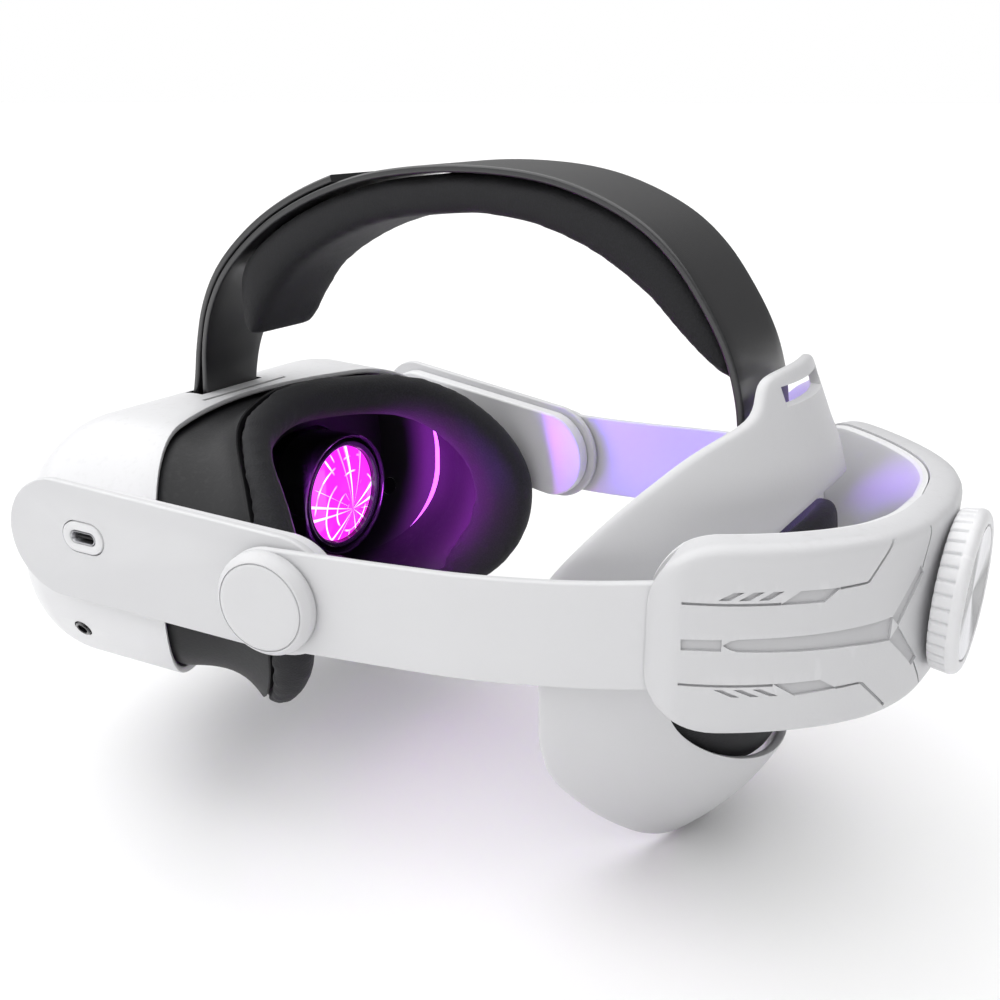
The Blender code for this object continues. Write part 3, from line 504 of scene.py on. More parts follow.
# ------------------------------------------------------------- visor housing
def visor_rim(x):
    """How far back the housing's rear rim lies: less at the sides."""
    sweep = min(abs(x) / VISOR_HALF_WIDTH, 1.0) ** 1.8
    return VISOR_REAR_MIDDLE + (VISOR_REAR_SIDE - VISOR_REAR_MIDDLE) * sweep


def taper(x, y):
    """The housing's sides draw in a little towards the back."""
    narrowing = VISOR_SIDE_TAPER * max(0.0, (y - VISOR_FRONT - 30) / 52)
    return x - math.copysign(narrowing * (x / VISOR_HALF_WIDTH) ** 2, x)


def visor_ring(inset_x, inset_z, depth, inset=0.0):
    outline = rounded(VISOR_HALF_WIDTH - inset_x, VISOR_HALF_HEIGHT - inset_z,
                      VISOR_CORNER - max(inset, 0.5 * inset_z), 18, 14)
    ring = []
    for x, z in outline:
        y = depth(x) if callable(depth) else depth
        ring.append((taper(x, y), y, VISOR_MIDDLE_Z + z))
    return ring


def visor_skin(inset, steps):
    rings = []
    for step in range(steps + 1):
        angle = math.radians(90 * step / steps)
        rings.append(visor_ring(inset + 36 * (1 - math.sin(angle)),
                                inset + 22 * (1 - math.sin(angle)),
                                VISOR_FRONT + inset + 30 * (1 - math.cos(angle)), inset))
    for share in (0.25, 0.5, 0.75):
        rings.append(visor_ring(inset + share, inset, lambda x, share=share:
                                VISOR_FRONT + inset + 30
                                + (visor_rim(x) - VISOR_FRONT - inset - 30.6) * share, inset))
    return rings


lip = [visor_ring(1.0 + grow, grow, lambda x, back=back: visor_rim(x) + back, grow)
       for grow, back in ((0.0, -0.7), (0.2, -0.2), (0.7, 0.0), (1.6, 0.0), (2.2, -0.5))]
outer_rings = visor_skin(0.0, 22) + lip
shell = skin("visor_body", outer_rings + visor_skin(VISOR_WALL, 6)[::-1], white)
shell.data.materials.append(inner_grey)
inside_from = len(outer_rings) * len(outer_rings[0])
for face in list(shell.data.polygons)[inside_from:]:
    face.material_index = 1
shell.data.polygons[len(shell.data.polygons) - 2].material_index = 0    # the front face
JACK, JACK_AXIS = (87.6, -90, -34), (0.91, 0.06, -0.41)
BUTTON, BUTTON_AXIS = (-87.6, -90, -34), (-0.91, 0.06, -0.41)
ROCKER = (46, -92, VISOR_BOTTOM + 1.1)
cutters = [
    block("cut_pocket", (-16, -108, 22.5), (16, -98.5, 40), black),
    # The top slot's floor takes the darker groove colour, a painted shade.
    block("cut_slot", (-22, -92.6, VISOR_TOP - 0.9), (22, -90.8, 40), painted_groove_shade),
    turned("cut_jack", JACK, [(-8, 3.4), (-0.6, 3.4), (0.1, 3.6), (2.6, 6.4), (3.4, 8.0)], black,
           JACK_AXIS, 48),
    turned("cut_button", BUTTON, [(-8, 4.0), (5, 4.0)], white, BUTTON_AXIS, 48),
    block("cut_rocker", (ROCKER[0] - 9.0, ROCKER[1] - 2.9, VISOR_BOTTOM - 3),
          (ROCKER[0] + 9.0, ROCKER[1] + 2.9, VISOR_BOTTOM + 4), white)]
CAMERAS = (("camera_top_left", 1, 1), ("camera_top_right", -1, 1), ("camera_low_left", 1, -1),
           ("camera_low_right", -1, -1))
for word, sx, sz in CAMERAS:
    middle = (sx * 64.0, VISOR_FRONT + 4.0, VISOR_MIDDLE_Z + sz * 24.0)
    facing = (sx * 0.36, -0.86, sz * 0.36)
    cutters.append(turned("cut_" + word, middle, [(-1.5, 6.8), (5.0, 6.8)], black, facing, 48))
    camera = turned(word + "_eye", middle,
                    [(-1.2, 6.3), (-0.2, 6.4), (0.25, 6.2), (0.5, 5.8), (0.45, 5.2), (0.1, 4.9),
                     (-0.3, 4.4), (-0.3, 3.6), (0.05, 3.3), (0.35, 2.4), (0.5, 1.2), (0.55, 0.2)],
                    gloss_black, facing, 64)
    belong(camera, "visor", [word])
belong(carve(shell, cutters), "visor", ["visor_shell"])
belong(turned("audio_socket", JACK, [(-7.5, 3.0), (-0.9, 3.0), (-0.5, 2.8), (-0.4, 2.3),
                                     (-0.6, 1.9), (-7.5, 1.8)], gloss_black, JACK_AXIS, 48, True),
       "visor", ["audio_jack"])
power = turned("power_key", BUTTON, [(-3.2, 3.9), (0.6, 3.9), (1.2, 3.7), (1.5, 3.2), (1.3, 2.0),
                                    (1.25, 0.3)], key_grey, BUTTON_AXIS, 48)
power.data.materials.append(black)
for face in power.data.polygons:
    if face.center.x > place(*BUTTON).x + 1.6 * MM:
        face.material_index = 1
belong(power, "power_key", ["power_button"])
rocker_rings = []
for drop, shrink in ((0.6, 0.0), (-1.5, 0.0), (-1.85, 0.15), (-2.0, 0.5)):
    rocker_rings.append([(ROCKER[0] + x, ROCKER[1] + y, ROCKER[2] + drop)
                         for x, y in rounded(8.2 - shrink, 2.3 - shrink, 1.6, 6, 4)])
belong(skin("volume_key", rocker_rings, key_grey), "volume_key", ["volume_rocker"])

# -------------------------------------------------------- face frame, cushion
PERIMETER = [(0, -73, 37), (31, -61, 35.5), (49, -48.5, 33), (60, -36, 25), (69, -25, 12),
             (75, -17, -3), (76, -15, -18), (73, -17, -34), (67, -25, -50), (57, -38, -61),
             (43, -50, -62), (28, -59, -56), (13, -66, -42), (0, -68, -35)]
half_way = smooth(PERIMETER, 97)


def relaxed(loop, times):
    """Ease the kinks out of a closed path."""
    for _ in range(times):
        loop = [tuple((a + 2 * b + c) / 4 for a, b, c in zip(loop[i - 1], loop[i],
                                                             loop[(i + 1) % len(loop)]))
                for i in range(len(loop))]
    return loop


edge = relaxed(half_way + [(-x, y, z) for x, y, z in half_way[-2:0:-1]], 24)


def inset(points, amount, back, span=4):
    """Move a closed path inward across the face plane and backward."""
    moved = []
    for i, (x, y, z) in enumerate(points):
        ax, _, az = points[i - span]
        bx, _, bz = points[(i + span) % len(points)]
        length = math.hypot(bx - ax, bz - az)
        moved.append((x + amount * (bz - az) / length, y + back, z - amount * (bx - ax) / length))
    return moved


def cushion_ring(amount, back):
    made = []
    for (ex, ey, ez), (ix, _, iz) in zip(edge, inset(edge, 1.0, 0.0)):
        share = ease((-22 - ez) / 22) * ease((70 - abs(ex)) / 22)
        if amount > 5.3 and back < 5:
            reach = 6.4 + (amount - 6.4) * (1 - share)
        else:
            reach = amount * (1 - 0.45 * share)
        depth = back * (1 - share) + 0.9 * share if back < 0 else back
        made.append((ex + (ix - ex) * reach, ey + depth, ez + (iz - ez) * reach))
    return relaxed(made, 16)


CUSHION_SECTION = [(0.3, 0.7), (-0.7, 5.0), (1.5, 10.0), (6.5, 12.4), (12.0, 10.0),
                   (16.2, 0.0), (15.4, -10.2), (12.2, -10.4), (6.5, 0.8)]
cushion = skin("face_pad", [cushion_ring(a, b) for a, b in smooth(CUSHION_SECTION, 40, True)],
               foam_black, closed=True, sharp=80)


def on_outline(x, z, inset_by):
    """Where a ray from the middle meets the housing's outline, drawn in by some mm."""
    half_x, half_z = VISOR_HALF_WIDTH - inset_by, VISOR_HALF_HEIGHT - inset_by
    radius = VISOR_CORNER - inset_by
    near, far = 0.0, 3.0
    for _ in range(30):
        reach = (near + far) / 2
        over_x = max(abs(x * reach) - half_x + radius, 0.0)
        over_z = max(abs(z * reach) - half_z + radius, 0.0)
        if math.hypot(over_x, over_z) > radius:
            far = reach
        else:
            near = reach
    return x * near, z * near


def frame_ring(inset_by, back):
    ring = []
    for ex, _, ez in edge:
        x, z = on_outline(ex, ez - VISOR_MIDDLE_Z, inset_by)
        y = visor_rim(x) + back
        ring.append((taper(x, y), y, VISOR_MIDDLE_Z + z))
    return ring


def between(a, b, share, waist):
    """A ring part way between two others, pulled in at the waist."""
    made = []
    for u, v in zip(a, b):
        x, y, z = (p + (q - p) * share for p, q in zip(u, v))
        made.append((x * (1 - waist), y, VISOR_MIDDLE_Z + (z - VISOR_MIDDLE_Z) * (1 - waist)))
    return made


rim_edge = frame_ring(VISOR_WALL + 1.5, 1.5)
end_out, end_in = inset(edge, 0.9, -0.9), inset(edge, 4.2, -0.3)
rim_in = frame_ring(VISOR_WALL + 4.2, 1.5)
WAIST = 0.045
frame_rings = [frame_ring(VISOR_WALL + 1.6, -5.0)]
frame_rings += [between(rim_edge, end_out, s / 12, WAIST * math.sin(math.pi * s / 12))
                for s in range(13)]
frame_rings += [inset(edge, 1.3, -0.4), inset(edge, 2.0, -0.3), end_in]
frame_rings += [between(rim_in, end_in, s / 6, WAIST * math.sin(math.pi * s / 6))
                for s in range(5, -1, -1)]
frame_rings.append(frame_ring(VISOR_WALL + 4.2, -5.0))
belong(skin("face_frame_skin", frame_rings, black, closed=True), "visor", ["face_frame"])

# --------------------------------------------------------------------- optics
for word, side in (("left", 1), ("right", -1)):
    x = side * LENS_SPACING
    barrel = turned("eye_cup_" + word, (x, 0, LENS_Z),
                    [(-106, 23.6), (-91.5, 23.6), (-89.0, 24.8), (-71.2, 25.4), (-70.3, 25.3),
                     (-70.0, 24.9), (-70.2, 24.4), (-73.5, 23.7), (-76.6, 23.2), (-76.4, 22.6),
                     (-71.6, 22.5), (-70.9, 22.2), (-70.8, 21.6), (-71.2, 20.7), (-71.6, 20.4),
                     (-79.2, 20.4), (-79.2, 18.6), (-106, 20.4)], gloss_black, steps=128,
                    closed=True)
    belong(barrel, word + "_eye", ["lens_barrel_" + word])
    dome = [(-78.8, 15.0), (-78.8, 20.0), (-73.6, 20.0)]
    for step in range(13):
        radius = 19.9 - 19.6 * step / 12
        dome.append((-71.0 - 2.3 * (radius / 20) ** 2, radius))
    # The lens's glow is painted light from its emission.
    lens = turned("glow_lens_" + word, (x, 0, LENS_Z), dome,
                  lens_with_painted_glow("lens_painted_glow_" + word, place(x, -73, LENS_Z), side), steps=128,
                  sharp=60)
    belong(lens, word + "_eye", ["lens_" + word])


# ----------------------------------------------------------------------- arms
def arm_x(y, depth=0.0):
    return ARM_OUTSIDE - ARM_LEAN * y - depth


def stadium(front, front_radius, rear, rear_radius, steps=40):
    outline = []
    for middle, radius, start in ((rear, rear_radius, -90), (front, front_radius, 90)):
        for step in range(steps + 1):
            angle = math.radians(start + 180 * step / steps)
            outline.append((middle[0] + radius * math.cos(angle),
                            middle[1] + radius * math.sin(angle)))
    return outline


def pill(y, z, length, height, tilt, steps=24):
    reach = (length - height) / 2
    lean = math.radians(tilt)
    run = (reach * math.cos(lean), reach * math.sin(lean))
    outline = []
    for sign, start in ((1, -90), (-1, 90)):
        for step in range(steps + 1):
            angle = math.radians(start + tilt + 180 * step / steps)
            outline.append((y + sign * run[0] + height / 2 * math.cos(angle),
                            z + sign * run[1] + height / 2 * math.sin(angle)))
    return outline


def layer(name, outlines, side, look, closed=False):
    """Plates that follow the arm's slope: (depth, outline) pairs."""
    rings = [[(side * arm_x(y, depth), y, z) for y, z in outline] for depth, outline in outlines]
    return skin(name, rings, look, closed)


def plate(front, front_radius, rear, rear_radius, top, thick, soft):
    """Depth and outline pairs for a plate with rounded upper and lower edges."""
    made = []
    for step in range(6):
        angle = math.radians(18 * step)
        made.append((top + soft * (1 - math.sin(angle)), soft * (1 - math.cos(angle))))
    made = [(depth, shrink) for depth, shrink in made[::-1]]
    made += [(top + thick - (depth - top), shrink) for depth, shrink in made[::-1]]
    return [(depth, stadium(front, front_radius - shrink, rear, rear_radius - shrink))
            for depth, shrink in made]


BODY_TOP = COVER_THICKNESS + 0.3
USB_Y, USB_Z, USB_TILT = -70.5, 7.0, -3.0
for word, side in (("left", 1), ("right", -1)):
    arm = layer("arm_core_" + word, plate((ARM_FRONT[0] + 4, ARM_FRONT[1]), ARM_FRONT_RADIUS - 3,
                                          (-1.0, 0), ARM_REAR_RADIUS - 2, BODY_TOP,
                                          ARM_THICKNESS, 1.0), side, white)
    cover = layer("arm_plate_" + word, plate(ARM_FRONT, ARM_FRONT_RADIUS, (0, 0),
                                             ARM_REAR_RADIUS, 0.0, COVER_THICKNESS, 0.7),
                  side, arm_white)
    if side > 0:
        for thing in (arm, cover):
            carve(thing, [layer("cut_window", [(-3, pill(USB_Y, USB_Z, 16.4, 11.0, USB_TILT)),
                                               (6.5, pill(USB_Y, USB_Z, 16.4, 11.0, USB_TILT))],
                                1, arm_white)])
    belong(arm, "visor", ["arm_" + word])
    belong(cover, "visor", ["arm_cover_" + word])


def tube(name, profile, look, node_name):
    """A sleeve in the connector's window: (depth, shrink) pairs round one pill."""
    belong(layer(name, [(depth, pill(USB_Y, USB_Z, length, length - 5.4, USB_TILT))
                        for depth, length in profile], 1, look, True), "visor", [node_name])


tube("connector_boss", [(6.2, 15.6), (0.2, 15.6), (-0.3, 15.3), (-0.5, 14.7), (-0.5, 10.9),
                        (-0.3, 10.2), (0.1, 9.9), (6.2, 9.9)], white, "usb_boss")
tube("connector_shell", [(6.0, 9.3), (0.1, 9.3), (-0.2, 9.15), (-0.25, 8.8), (0.0, 8.5),
                         (6.0, 8.5)], steel, "usb_socket")
belong(layer("connector_tongue", [(4.7, pill(USB_Y, USB_Z, 6.7, 0.9, USB_TILT, 6)),
                                  (0.9, pill(USB_Y, USB_Z, 6.7, 0.9, USB_TILT, 6)),
                                  (0.7, pill(USB_Y, USB_Z, 6.4, 0.6, USB_TILT, 6))], 1, black),
       "visor", ["usb_tongue"])

# ----------------------------------------------------------------- rear shell
SHELL_MIDDLE_Z, SHELL_HALF_HEIGHT, SHELL_CORNER_LENGTH = 10.4, 26.0, 19.0
shell_half = smooth([(72.3, 111.5), (69.6, 119), (65, 128.4), (59.3, 137), (52, 145.8),
                     (43, 154.3), (32.5, 161.2), (18, 166.2), (0, 168)], 161)
shell_path = shell_half + [(-x, y) for x, y in shell_half[-2::-1]]
LAST = len(shell_path) - 1
SHELL_HALF_LENGTH = sum(math.dist(a, b) for a, b in zip(shell_half, shell_half[1:]))


def facing_out(path, i):
    (ax, ay), (bx, by) = path[max(i - 1, 0)], path[min(i + 1, len(path) - 1)]
    length = math.hypot(bx - ax, by - ay)
    return (by - ay) / length, -(bx - ax) / length


def shell_point(from_end, depth):
    """Plan point and outward direction at a distance in mm from the shell's end."""
    place_on = max(from_end, 0.0) / SHELL_HALF_LENGTH * (LAST / 2)
    i = min(int(place_on), LAST - 1)
    t = place_on - i
    (ax, ay), (bx, by) = shell_path[i], shell_path[i + 1]
    nx, ny = facing_out(shell_path, i)
    return ax + (bx - ax) * t - nx * depth, ay + (by - ay) * t - ny * depth


def shell_half_height(from_end):
    """Half height: the ends are rounded off."""
    closing = max(0.0, 1.0 - from_end / SHELL_CORNER_LENGTH)
    return 9.0 + (SHELL_HALF_HEIGHT - 9.0) * math.sqrt(max(0.0, 1 - closing ** 2.2))


# Distances from the shell's end: close together where the outline turns quickly.
END_STEPS = [0.0, 0.15, 0.5, 1.0, 1.7, 2.6, 3.7, 5.0, 6.5, 8.2, 10.0, 12.0, 14.0, 16.5, 19.0]
MIDDLE_STEPS = 60
half_steps = END_STEPS + [
    SHELL_CORNER_LENGTH + (SHELL_HALF_LENGTH - SHELL_CORNER_LENGTH) * step / MIDDLE_STEPS
    for step in range(1, MIDDLE_STEPS + 1)]
shell_steps = half_steps + [2 * SHELL_HALF_LENGTH - step for step in half_steps[-2::-1]]


def shell_ring(along, section):
    """One cross-section; depth is inward from the face, drop is from the edge."""
    from_end = min(along, 2 * SHELL_HALF_LENGTH - along)
    half = shell_half_height(from_end)
    slope = 3.6 * ease(1 - from_end / 8.5)
    wall = 2.3 + 6.7 * ease((half - 19.0) / 5.0)
    ring = []
    for depth, side, drop in section:
        if depth > 2.3:
            depth = 2.3 + (depth - 2.3) * (wall - 2.3) / 6.7
        depth += slope * max(0.0, 1 - depth / 2.3) * 0.62
        x, y = shell_point(along, depth)
        ring.append((x, y, SHELL_MIDDLE_Z + side * (half - drop)))
    return ring


EDGE_SECTION = [(9.0, 0.0), (4.2, 0.0), (3.0, 0.1), (1.8, 0.45), (0.9, 1.1), (0.3, 2.1),
                (0.05, 3.2), (0.0, 4.4)]
INNER_SECTION = [(2.3, 6.0), (2.3, 5.0), (2.7, 3.4), (4.2, 2.4), (6.0, 2.4), (9.0, 2.4)]
FACE_STEPS = 12
shell_section = [(depth, 1, drop) for depth, drop in EDGE_SECTION]
for step in range(1, FACE_STEPS):
    shell_section.append((0.0, 1 - 2 * step / FACE_STEPS, 4.4))
shell_section += [(depth, -1, drop) for depth, drop in EDGE_SECTION[::-1]]
shell_section += [(depth, -1, drop) for depth, drop in INNER_SECTION[::-1]]
shell_section += [(depth, 1, drop) for depth, drop in INNER_SECTION]
rear = skin("rear_cover", [shell_ring(step, shell_section) for step in shell_steps],
            shell_white)


def on_shell(side, along, z, depth):
    """A point on the shell: along is the distance in mm from the back's middle."""
    x, y = shell_point(SHELL_HALF_LENGTH - along, depth)
    return side * x, y, z


def groove(lower, upper, side, steps=24):
    """A shallow cutter between two lines drawn on the shell; its floor takes the darker groove
    colour, a painted shade.
    """
    rings = []
    for (a, za), (b, zb) in zip(even(lower, steps), even(upper, steps)):
        rings.append([on_shell(side, a, za, -0.8), on_shell(side, b, zb, -0.8),
                      on_shell(side, b, zb, 0.7), on_shell(side, a, za, 0.7)])
    return skin("cut_groove", rings, painted_groove_shade)


def line(points, width=0.75):
    """Lower and upper edges of a thin groove along a bent line."""
    lower, upper = [], []
    for i, (a, z) in enumerate(points):
        (pa, pz), (na, nz) = points[max(i - 1, 0)], points[min(i + 1, len(points) - 1)]
        length = math.hypot(na - pa, nz - pz)
        ox, oz = -(nz - pz) / length * width / 2, (na - pa) / length * width / 2
        lower.append((a - ox, z - oz))
        upper.append((a + ox, z + oz))
    return lower, upper


HATCH_GAP = 4.9
grooves = []
for side in (1, -1):
    shapes = [line([(90.2, 21.6), (66.0, 21.6)]),
              ([(66.2, 21.3), (54.6, 21.2)], [(61.2, 24.8), (50.6, 24.7)]),
              line([(50.8, 24.5), (42.8, 24.9), (35.0, 36.0)]),
              line([(89.9, -0.6), (66.2, -0.7)]),
              ([(60.3, -4.1), (48.7, -3.4)], [(66.2, -0.4), (53.7, -0.3)]),
              line([(49.0, -3.3), (41.4, -3.2), (31.8, -12.4)]),
              ([(89.7, 8.9), (79.9, 9.0)], [(89.9, 11.9), (79.9, 12.2)]),
              ([(79.5, 10.5), (76.8, 8.9), (65.0, 8.4), (54.9, 8.1), (45.9, 7.9), (32.9, 6.8)],
               [(79.5, 10.7), (77.2, 12.3), (65.0, 12.5), (54.9, 12.7), (45.9, 13.0),
                (32.9, 13.5)]),
              ([(30.2, 10.3), (26.0, 16.5), (21.4, 22.6)],
               [(33.2, 13.3), (28.6, 19.0), (23.4, 25.2)]),
              ([(33.2, 6.9), (27.5, 1.8), (21.1, -4.2)],
               [(30.2, 10.1), (25.0, 4.0), (18.8, -2.6)]),
              line([(22.4, 24.2), (20.4, 31.0), (19.6, 36.0)], 0.6),
              line([(20.0, -3.6), (15.5, -9.6), (13.2, -13.0)], 0.6)]
    for step in range(3):
        a = 81.5 - HATCH_GAP * step
        shapes.append(([(a, 22.7), (a - 2.7, 22.7)], [(a - 3.6, 24.9), (a - 6.3, 24.9)]))
        shapes.append(([(a - 5.0, -3.8), (a - 7.1, -3.8)], [(a - 0.4, -1.7), (a - 2.6, -1.7)]))
    grooves += [groove(lower, upper, side) for lower, upper in shapes]
belong(carve(rear, grooves), "cradle", ["rear_shell"])


def liner_ring(along):
    half = shell_half_height(min(along, 2 * SHELL_HALF_LENGTH - along))
    ring = []
    for depth, side, drop in ((9.4, -1, 0.6), (9.4, 1, 0.6), (10.8, 1, 0.6), (11.6, 1, 1.2),
                              (12.0, 1, 2.4), (12.0, -1, 2.4), (11.6, -1, 1.2),
                              (10.8, -1, 0.6)):
        x, y = shell_point(along, depth)
        ring.append((x, y, SHELL_MIDDLE_Z + side * (half - drop)))
    return ring


belong(skin("rear_lining", [liner_ring(step) for step in shell_steps], white), "cradle",
       ["shell_liner"])


# ----------------------------------------------------------------- halo bands
def band_middle(y):
    """Height of the band's middle line, rising gently to the rear."""
    return 10.5 * min(max(y, 0.0) / 115.0, 1.0) ** 1.35


free_run = [(arm_x(-16) + 2.1, -16), (arm_x(0) + 2.1, 0), (arm_x(16) + 2.1, 16), (81.9, 40),
            (80.0, 62), (76.6, 82), (72.6, 98)]
tail_run = [shell_point(SHELL_HALF_LENGTH * i / 15, BAND_DEPTH) for i in range(1, 16, 2)]
band_path = smooth(free_run + tail_run, 150)
for word, side in (("left", 1), ("right", -1)):
    rings = []
    for i, (x, y) in enumerate(band_path):
        nx, ny = facing_out(band_path, i)
        half = math.sqrt(max(0.0, 256.0 - y * y)) if y < 0 else 16.0 - min(y / 90, 1.0)
        half = max(2.5, half)
        middle = band_middle(y)
        into = ease((y - 116) / 26)
        half += (2.4 - half) * into
        middle += (KNOB_MIDDLE_Z + 7.6 * side - middle) * into
        thick = BAND_THICKNESS / 2 - 0.4 * into
        rings.append([(side * (x + nx * a), y + ny * a, middle + rise)
                      for a, rise in rounded(thick, half, 0.8, 5, 4)])
    rings.append([(px - side * 12.0, py - 1.2, pz) for px, py, pz in rings[-1]])
    belong(skin("halo_band_" + word, rings, band_white), "halo", ["side_band_" + word])
    cap = turned("pivot_disc_" + word, (side * (ARM_OUTSIDE + 3.75), 0.6, 0),
                 [(-12.0, 4.1), (0.0, 4.1), (0.0, 15.5), (0.2, 15.85), (0.6, 16.0), (2.5, 16.0),
                  (3.1, 15.8), (4.7, 14.4), (5.15, 13.95), (5.2, 13.75), (4.7, 13.65),
                  (4.7, 13.4), (5.25, 13.3), (5.4, 13.0), (5.5, 12.0), (5.55, 7.0), (5.56, 0.4)],
                 band_white, (side, ARM_LEAN, 0), 128)
    belong(cap, "halo", ["pivot_cap_" + word])


# ----------------------------------------------------------------------- knob
def ribbed(y, outside, depth):
    """One ring of the knob, with shallow grooves between its ribs."""
    ring = []
    for rib in range(KNOB_RIBS):
        for share, low in ((0, 0.0), (0.2, 0.0), (0.4, 0.0), (0.58, 0.0), (0.66, 0.15),
                           (0.72, 0.65), (0.78, 0.95), (0.84, 0.95), (0.9, 0.65), (0.96, 0.15)):
            angle = 2 * math.pi * (rib + share) / KNOB_RIBS
            radius = outside - depth * low
            ring.append((radius * math.cos(angle), y, KNOB_MIDDLE_Z + radius * math.sin(angle)))
    return ring


knob_rings = [ribbed(KNOB_REAR + y, KNOB_RADIUS - shrink, depth) for y, shrink, depth in (
    (-7.6, 6.0, 0.0), (-7.6, 1.2, 0.6), (-7.3, 0.8, 0.7), (-6.7, 0.5, 0.7), (-3.4, 0.1, 0.7),
    (-3.1, 0.05, 0.6), (-2.85, 0.0, 0.1), (-2.75, 0.0, 0.0), (-2.2, 0.0, 0.0),
    (-1.4, 0.25, 0.0), (-0.7, 0.8, 0.0), (-0.2, 1.6, 0.0), (0.0, 2.4, 0.0), (0.0, 3.5, 0.0),
    (-0.2, 3.9, 0.0), (-0.7, 4.0, 0.0), (-1.6, 4.0, 0.0))]
belong(skin("size_dial", knob_rings, white), "size_knob", ["knob"])
dial_metal = spun_metal("dial_metal", place(0, KNOB_REAR, KNOB_MIDDLE_Z))
belong(turned("dial_disc", (0, KNOB_REAR, KNOB_MIDDLE_Z),
              [(-1.3, KNOB_RADIUS - 4.3), (-0.5, KNOB_RADIUS - 4.3), (-0.2, KNOB_RADIUS - 4.6),
               (-0.3, 16.0), (-0.6, 9.0), (-0.9, 3.0), (-1.0, 0.3)], dial_metal, steps=160),
       "size_knob", ["knob_inlay"])

# --------------------------------------------------------------- cradle plate
PROFILE = smooth([(-93, 97), (-89, 102), (-78, 112), (-65, 121), (-47, 130), (-30, 135.5),
                  (-16, 139), (0, 141), (20, 140), (40, 135), (50, 130.5), (60, 126), (68, 122.5)],
                 120)
CURVE = smooth([(-93, 42), (-78, 47.5), (-65, 54.5), (-55, 60.5), (-40, 69.5), (-25, 76.5),
                (-12, 80.5), (4, 82), (30, 82), (68, 82)], 120)
EDGE = [(-92.0, 0), (-91.6, 8), (-89.9, 15.5), (-86.0, 22.5), (-78, 31.5), (-66, 41.5),
        (-55, 49), (-40, 57.2), (-25, 62.8), (-12, 66.2), (3, 68), (17, 66.5), (32, 60),
        (43, 52), (51, 42), (55.5, 32), (57.5, 26.5), (60, 23.4), (64, 22.0), (66.5, 20.0),
        (67.5, 14), (68.0, 6), (68.0, 0)]
HOLE_X, HOLE_Z_RADIUS, HOLE_Z, PLATE_THICKNESS = 50.0, 44.0, -8.0, 3.0


def plate_y(x, z):
    """How far back the cradle plate's outer face lies."""
    return read(PROFILE, z) * math.sqrt(max(0.02, 1 - (x / read(CURVE, z)) ** 2))


half_edge = smooth([(x, z) for z, x in EDGE], 121)
for _ in range(6):
    half_edge[1:-1] = [tuple((a + 2 * b + c) / 4 for a, b, c in zip(before, here, after))
                       for before, here, after in zip(half_edge, half_edge[1:], half_edge[2:])]
free_edge = half_edge + [(-x, z) for x, z in half_edge[-2:0:-1]]


def plate_ring(share, depth, out=0.0, hole_out=0.0):
    """A ring from the plate's free edge (share 0) to its window (share 1)."""
    ring = []
    for i, (x, z) in enumerate(free_edge):
        angle = math.atan2((z - HOLE_Z) / HOLE_Z_RADIUS, x / HOLE_X)
        hx = (HOLE_X + hole_out) * math.cos(angle)
        hz = HOLE_Z + (HOLE_Z_RADIUS + hole_out) * math.sin(angle)
        (ax, az), (bx, bz) = free_edge[i - 1], free_edge[(i + 1) % len(free_edge)]
        length = math.hypot(bx - ax, bz - az)
        x, z = x - out * (bz - az) / length, z + out * (bx - ax) / length
        px, pz = x + (hx - x) * share, z + (hz - z) * share
        ring.append((px, plate_y(px, pz) - depth, pz))
    return ring


SHARES = [0.0] + [step / 14 for step in range(1, 14)] + [1.0]
plate_rings = [plate_ring(0, 0.9, 0.0), plate_ring(0, 0.3, 0.25), plate_ring(0, 0.0, 0.8)]
plate_rings += [plate_ring(s, 0.0) for s in SHARES[1:-1]]
plate_rings += [plate_ring(1, 0.0, 0, 0.8), plate_ring(1, 0.3, 0, 0.2), plate_ring(1, 0.9, 0, 0),
                plate_ring(1, 2.3, 0, 0), plate_ring(1, 2.8, 0, 0.3), plate_ring(1, 3.0, 0, 0.9)]
plate_rings += [plate_ring(s, PLATE_THICKNESS) for s in SHARES[-2:0:-1]]
plate_rings += [plate_ring(0, 3.0, 0.8), plate_ring(0, 2.7, 0.25), plate_ring(0, 2.1, 0.0)]
cradle = skin("cradle_shell", plate_rings, band_white, closed=True)
carve(cradle, [block("cut_tongue", (-15, 105, 59.0), (15, 140, 64.2), white)])
belong(cradle, "cradle", ["cradle_plate"])

rear_pad_rings = []
for depth, share in ((4.2, 0.02), (4.2, 0.25), (4.2, 0.5), (4.2, 0.75), (4.2, 0.92), (4.3, 0.97),
                     (5.2, 0.99), (7.2, 1.0), (9.6, 0.985), (11.2, 0.955), (12.0, 0.90),
                     (12.3, 0.8), (12.4, 0.6), (12.4, 0.4), (12.4, 0.2), (12.4, 0.02)):
    ring = []
    for step in range(96):
        angle = 2 * math.pi * step / 96
        x, z = 55.0 * share * math.cos(angle), -15.0 + 41.0 * share * math.sin(angle)
        ring.append((x, plate_y(x, z) - depth, z))
    rear_pad_rings.append(ring)
nape = skin("nape_pad", rear_pad_rings, foam_black, sharp=80)

# ------------------------------------------------------------------ top strap
strap_path = smooth([(-101.6, 25), (-100.6, 36), (-97.6, 50), (-90.3, 66), (-78.5, 81.5),
                     (-61.5, 95.5), (-42, 106), (-20, 113.6), (0, 117.2), (22, 118.6),
                     (45, 117.4), (63, 113.4), (80, 106), (92, 96.6), (102, 84), (109, 72),
                     (113, 60), (114.6, 49), (114.2, 40)], 181)
strap_out = []
for i in range(len(strap_path)):
    (ay, az), (by, bz) = strap_path[max(i - 1, 0)], strap_path[min(i + 1, 180)]
    length = math.hypot(by - ay, bz - az)
    strap_out.append((-(bz - az) / length, (by - ay) / length))


